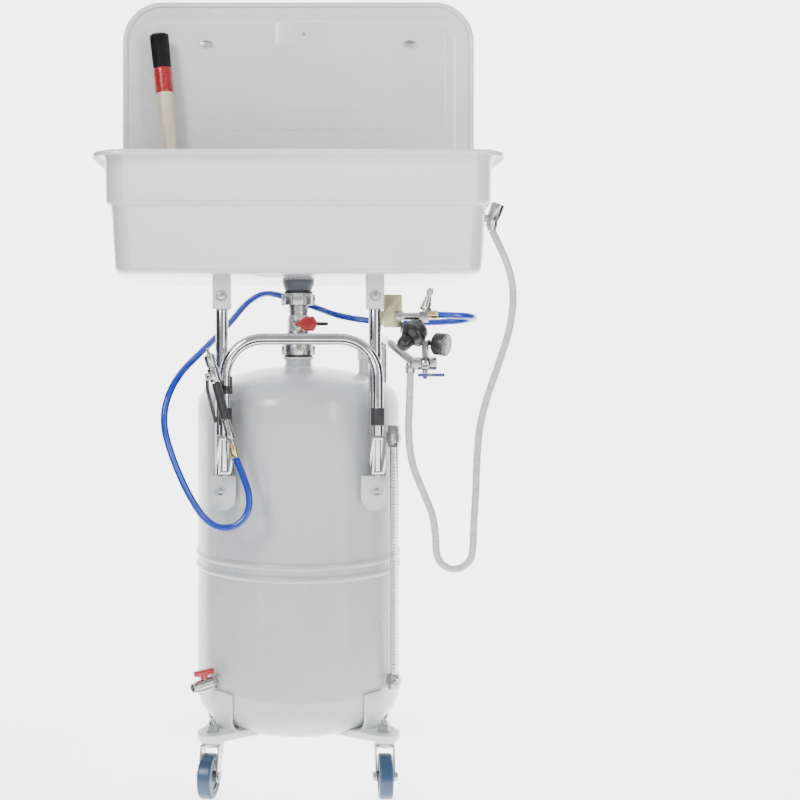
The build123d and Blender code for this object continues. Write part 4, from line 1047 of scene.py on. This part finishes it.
def make_washers():
    """Plain washer under each hexagon bolt of the frame."""
    profile = [(0.0056, 0.0), (0.0100, 0.0), (0.0100, 0.0012), (0.0096, 0.0015), (0.0056, 0.0015)]
    washer = lathe_mesh("washer", profile, segments=32, closed=True)
    places = [(side * x, WASHER_FACE, z) for side in (-1, 1) for x, z in BOLTS]
    mesh = set_out("bolt_washers", washer, places, [(0, -1, 0)] * len(places), "zinc")
    new_piece("bolt_washers", mesh, "root", "zinc")


make_tank()
make_weld("neck_weld", 0.0265, 0.0, TANK_Y)
make_weld("filler_weld", 0.0145, 0.128, TANK_Y + 0.020, 0.0032)
make_basin()
make_grid()
make_backsplash()
make_splash_pad()
make_splash_folds()
make_pull_handle()
make_brush()
make_gauge_dial()
make_sight_scale()
make_drain_knob()
make_washers()


# ---------------------------------------------------------------- hoses
BLUE_ROUTE = [
    (0.246, -0.1925, 0.843), (0.284, -0.1905, 0.842), (0.310, -0.1715, 0.841), (0.320, -0.1405, 0.839),
    (0.310, -0.1095, 0.836), (0.284, -0.0915, 0.833), (0.238, -0.0885, 0.831), (0.174, -0.0915, 0.831),
    (0.112, -0.0785, 0.837), (0.068, -0.0485, 0.847), (0.038, -0.0125, 0.860), (0.004, 0.0095, 0.873),
    (-0.034, 0.0075, 0.886), (-0.068, -0.0245, 0.890), (-0.098, -0.0705, 0.868), (-0.122, -0.1105, 0.834),
    (-0.146, -0.1545, 0.806), (-0.172, -0.2065, 0.776), (-0.204, -0.2485, 0.742), (-0.224, -0.2745, 0.700),
    (-0.229, -0.2855, 0.656), (-0.216, -0.2855, 0.608), (-0.198, -0.2835, 0.562), (-0.179, -0.2815, 0.524),
    (-0.158, -0.2805, 0.493), (-0.133, -0.2795, 0.478), (-0.105, -0.2785, 0.482), (-0.086, -0.2765, 0.502),
    (-0.082, -0.2715, 0.530), (-0.093, -0.2615, 0.563), (-0.108, -0.2545, 0.597),
]
CLEAR_ROUTE = [
    (0.198, -0.1925, 0.740), (0.197, -0.1935, 0.694), (0.194, -0.1945, 0.640), (0.199, -0.1945, 0.584),
    (0.218, -0.1955, 0.535), (0.237, -0.1955, 0.492), (0.243, -0.1945, 0.454), (0.243, -0.1945, 0.421),
    (0.252, -0.1945, 0.402), (0.271, -0.1935, 0.392), (0.291, -0.1935, 0.396), (0.306, -0.1935, 0.411),
    (0.309, -0.1925, 0.432), (0.310, -0.1925, 0.470), (0.314, -0.1915, 0.530), (0.316, -0.1915, 0.590),
    (0.321, -0.1905, 0.650), (0.336, -0.1905, 0.704), (0.358, -0.1895, 0.764), (0.378, -0.1885, 0.830),
    (0.382, -0.1885, 0.888), (0.369, -0.1885, 0.942), (0.343, -0.1875, 0.993),
]


def make_hose(name, route, diameter, node):
    """Hose on one smooth line along its route."""
    data = bpy.data.curves.new(name, "CURVE")
    data.dimensions = "3D"
    data.resolution_u = 10
    data.bevel_depth = diameter / 2
    data.bevel_resolution = 6
    data.use_fill_caps = True
    spline = data.splines.new("NURBS")
    spline.points.add(len(route) - 1)
    for point, place in zip(spline.points, route):
        point.co = (*place, 1)
    spline.order_u = 3
    spline.use_endpoint_u = True
    data.materials.append(FINISHES[SLOT_OF[node]])
    hose = bpy.data.objects.new(name, data)
    bpy.context.scene.collection.objects.link(hose)
    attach(hose, "root")
    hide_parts(node)
    SHOWN.add(node)


make_hose("blue_air_hose", BLUE_ROUTE, 0.012, "blue_hose")
make_hose("clear_wash_hose", CLEAR_ROUTE, 0.013, "clear_hose")


# ---------------------------------------------------------------- every other CAD node
# Widths of rounded edges in millimetres: the plain one, and the nodes that differ.
PLAIN_EDGE = 0.7
EDGES = {
    "caster_tread_left": 3.0,
    "caster_tread_right": 3.0,
    "rear_tyre_left": 6.0,
    "rear_tyre_right": 6.0,
    "union_nuts": 1.2,
    "gauge_lens": 0.3,
    "front_legs": 1.2,
}
for node in NODES:
    if node not in SHOWN:
        refined(node, EDGES.get(node, PLAIN_EDGE))
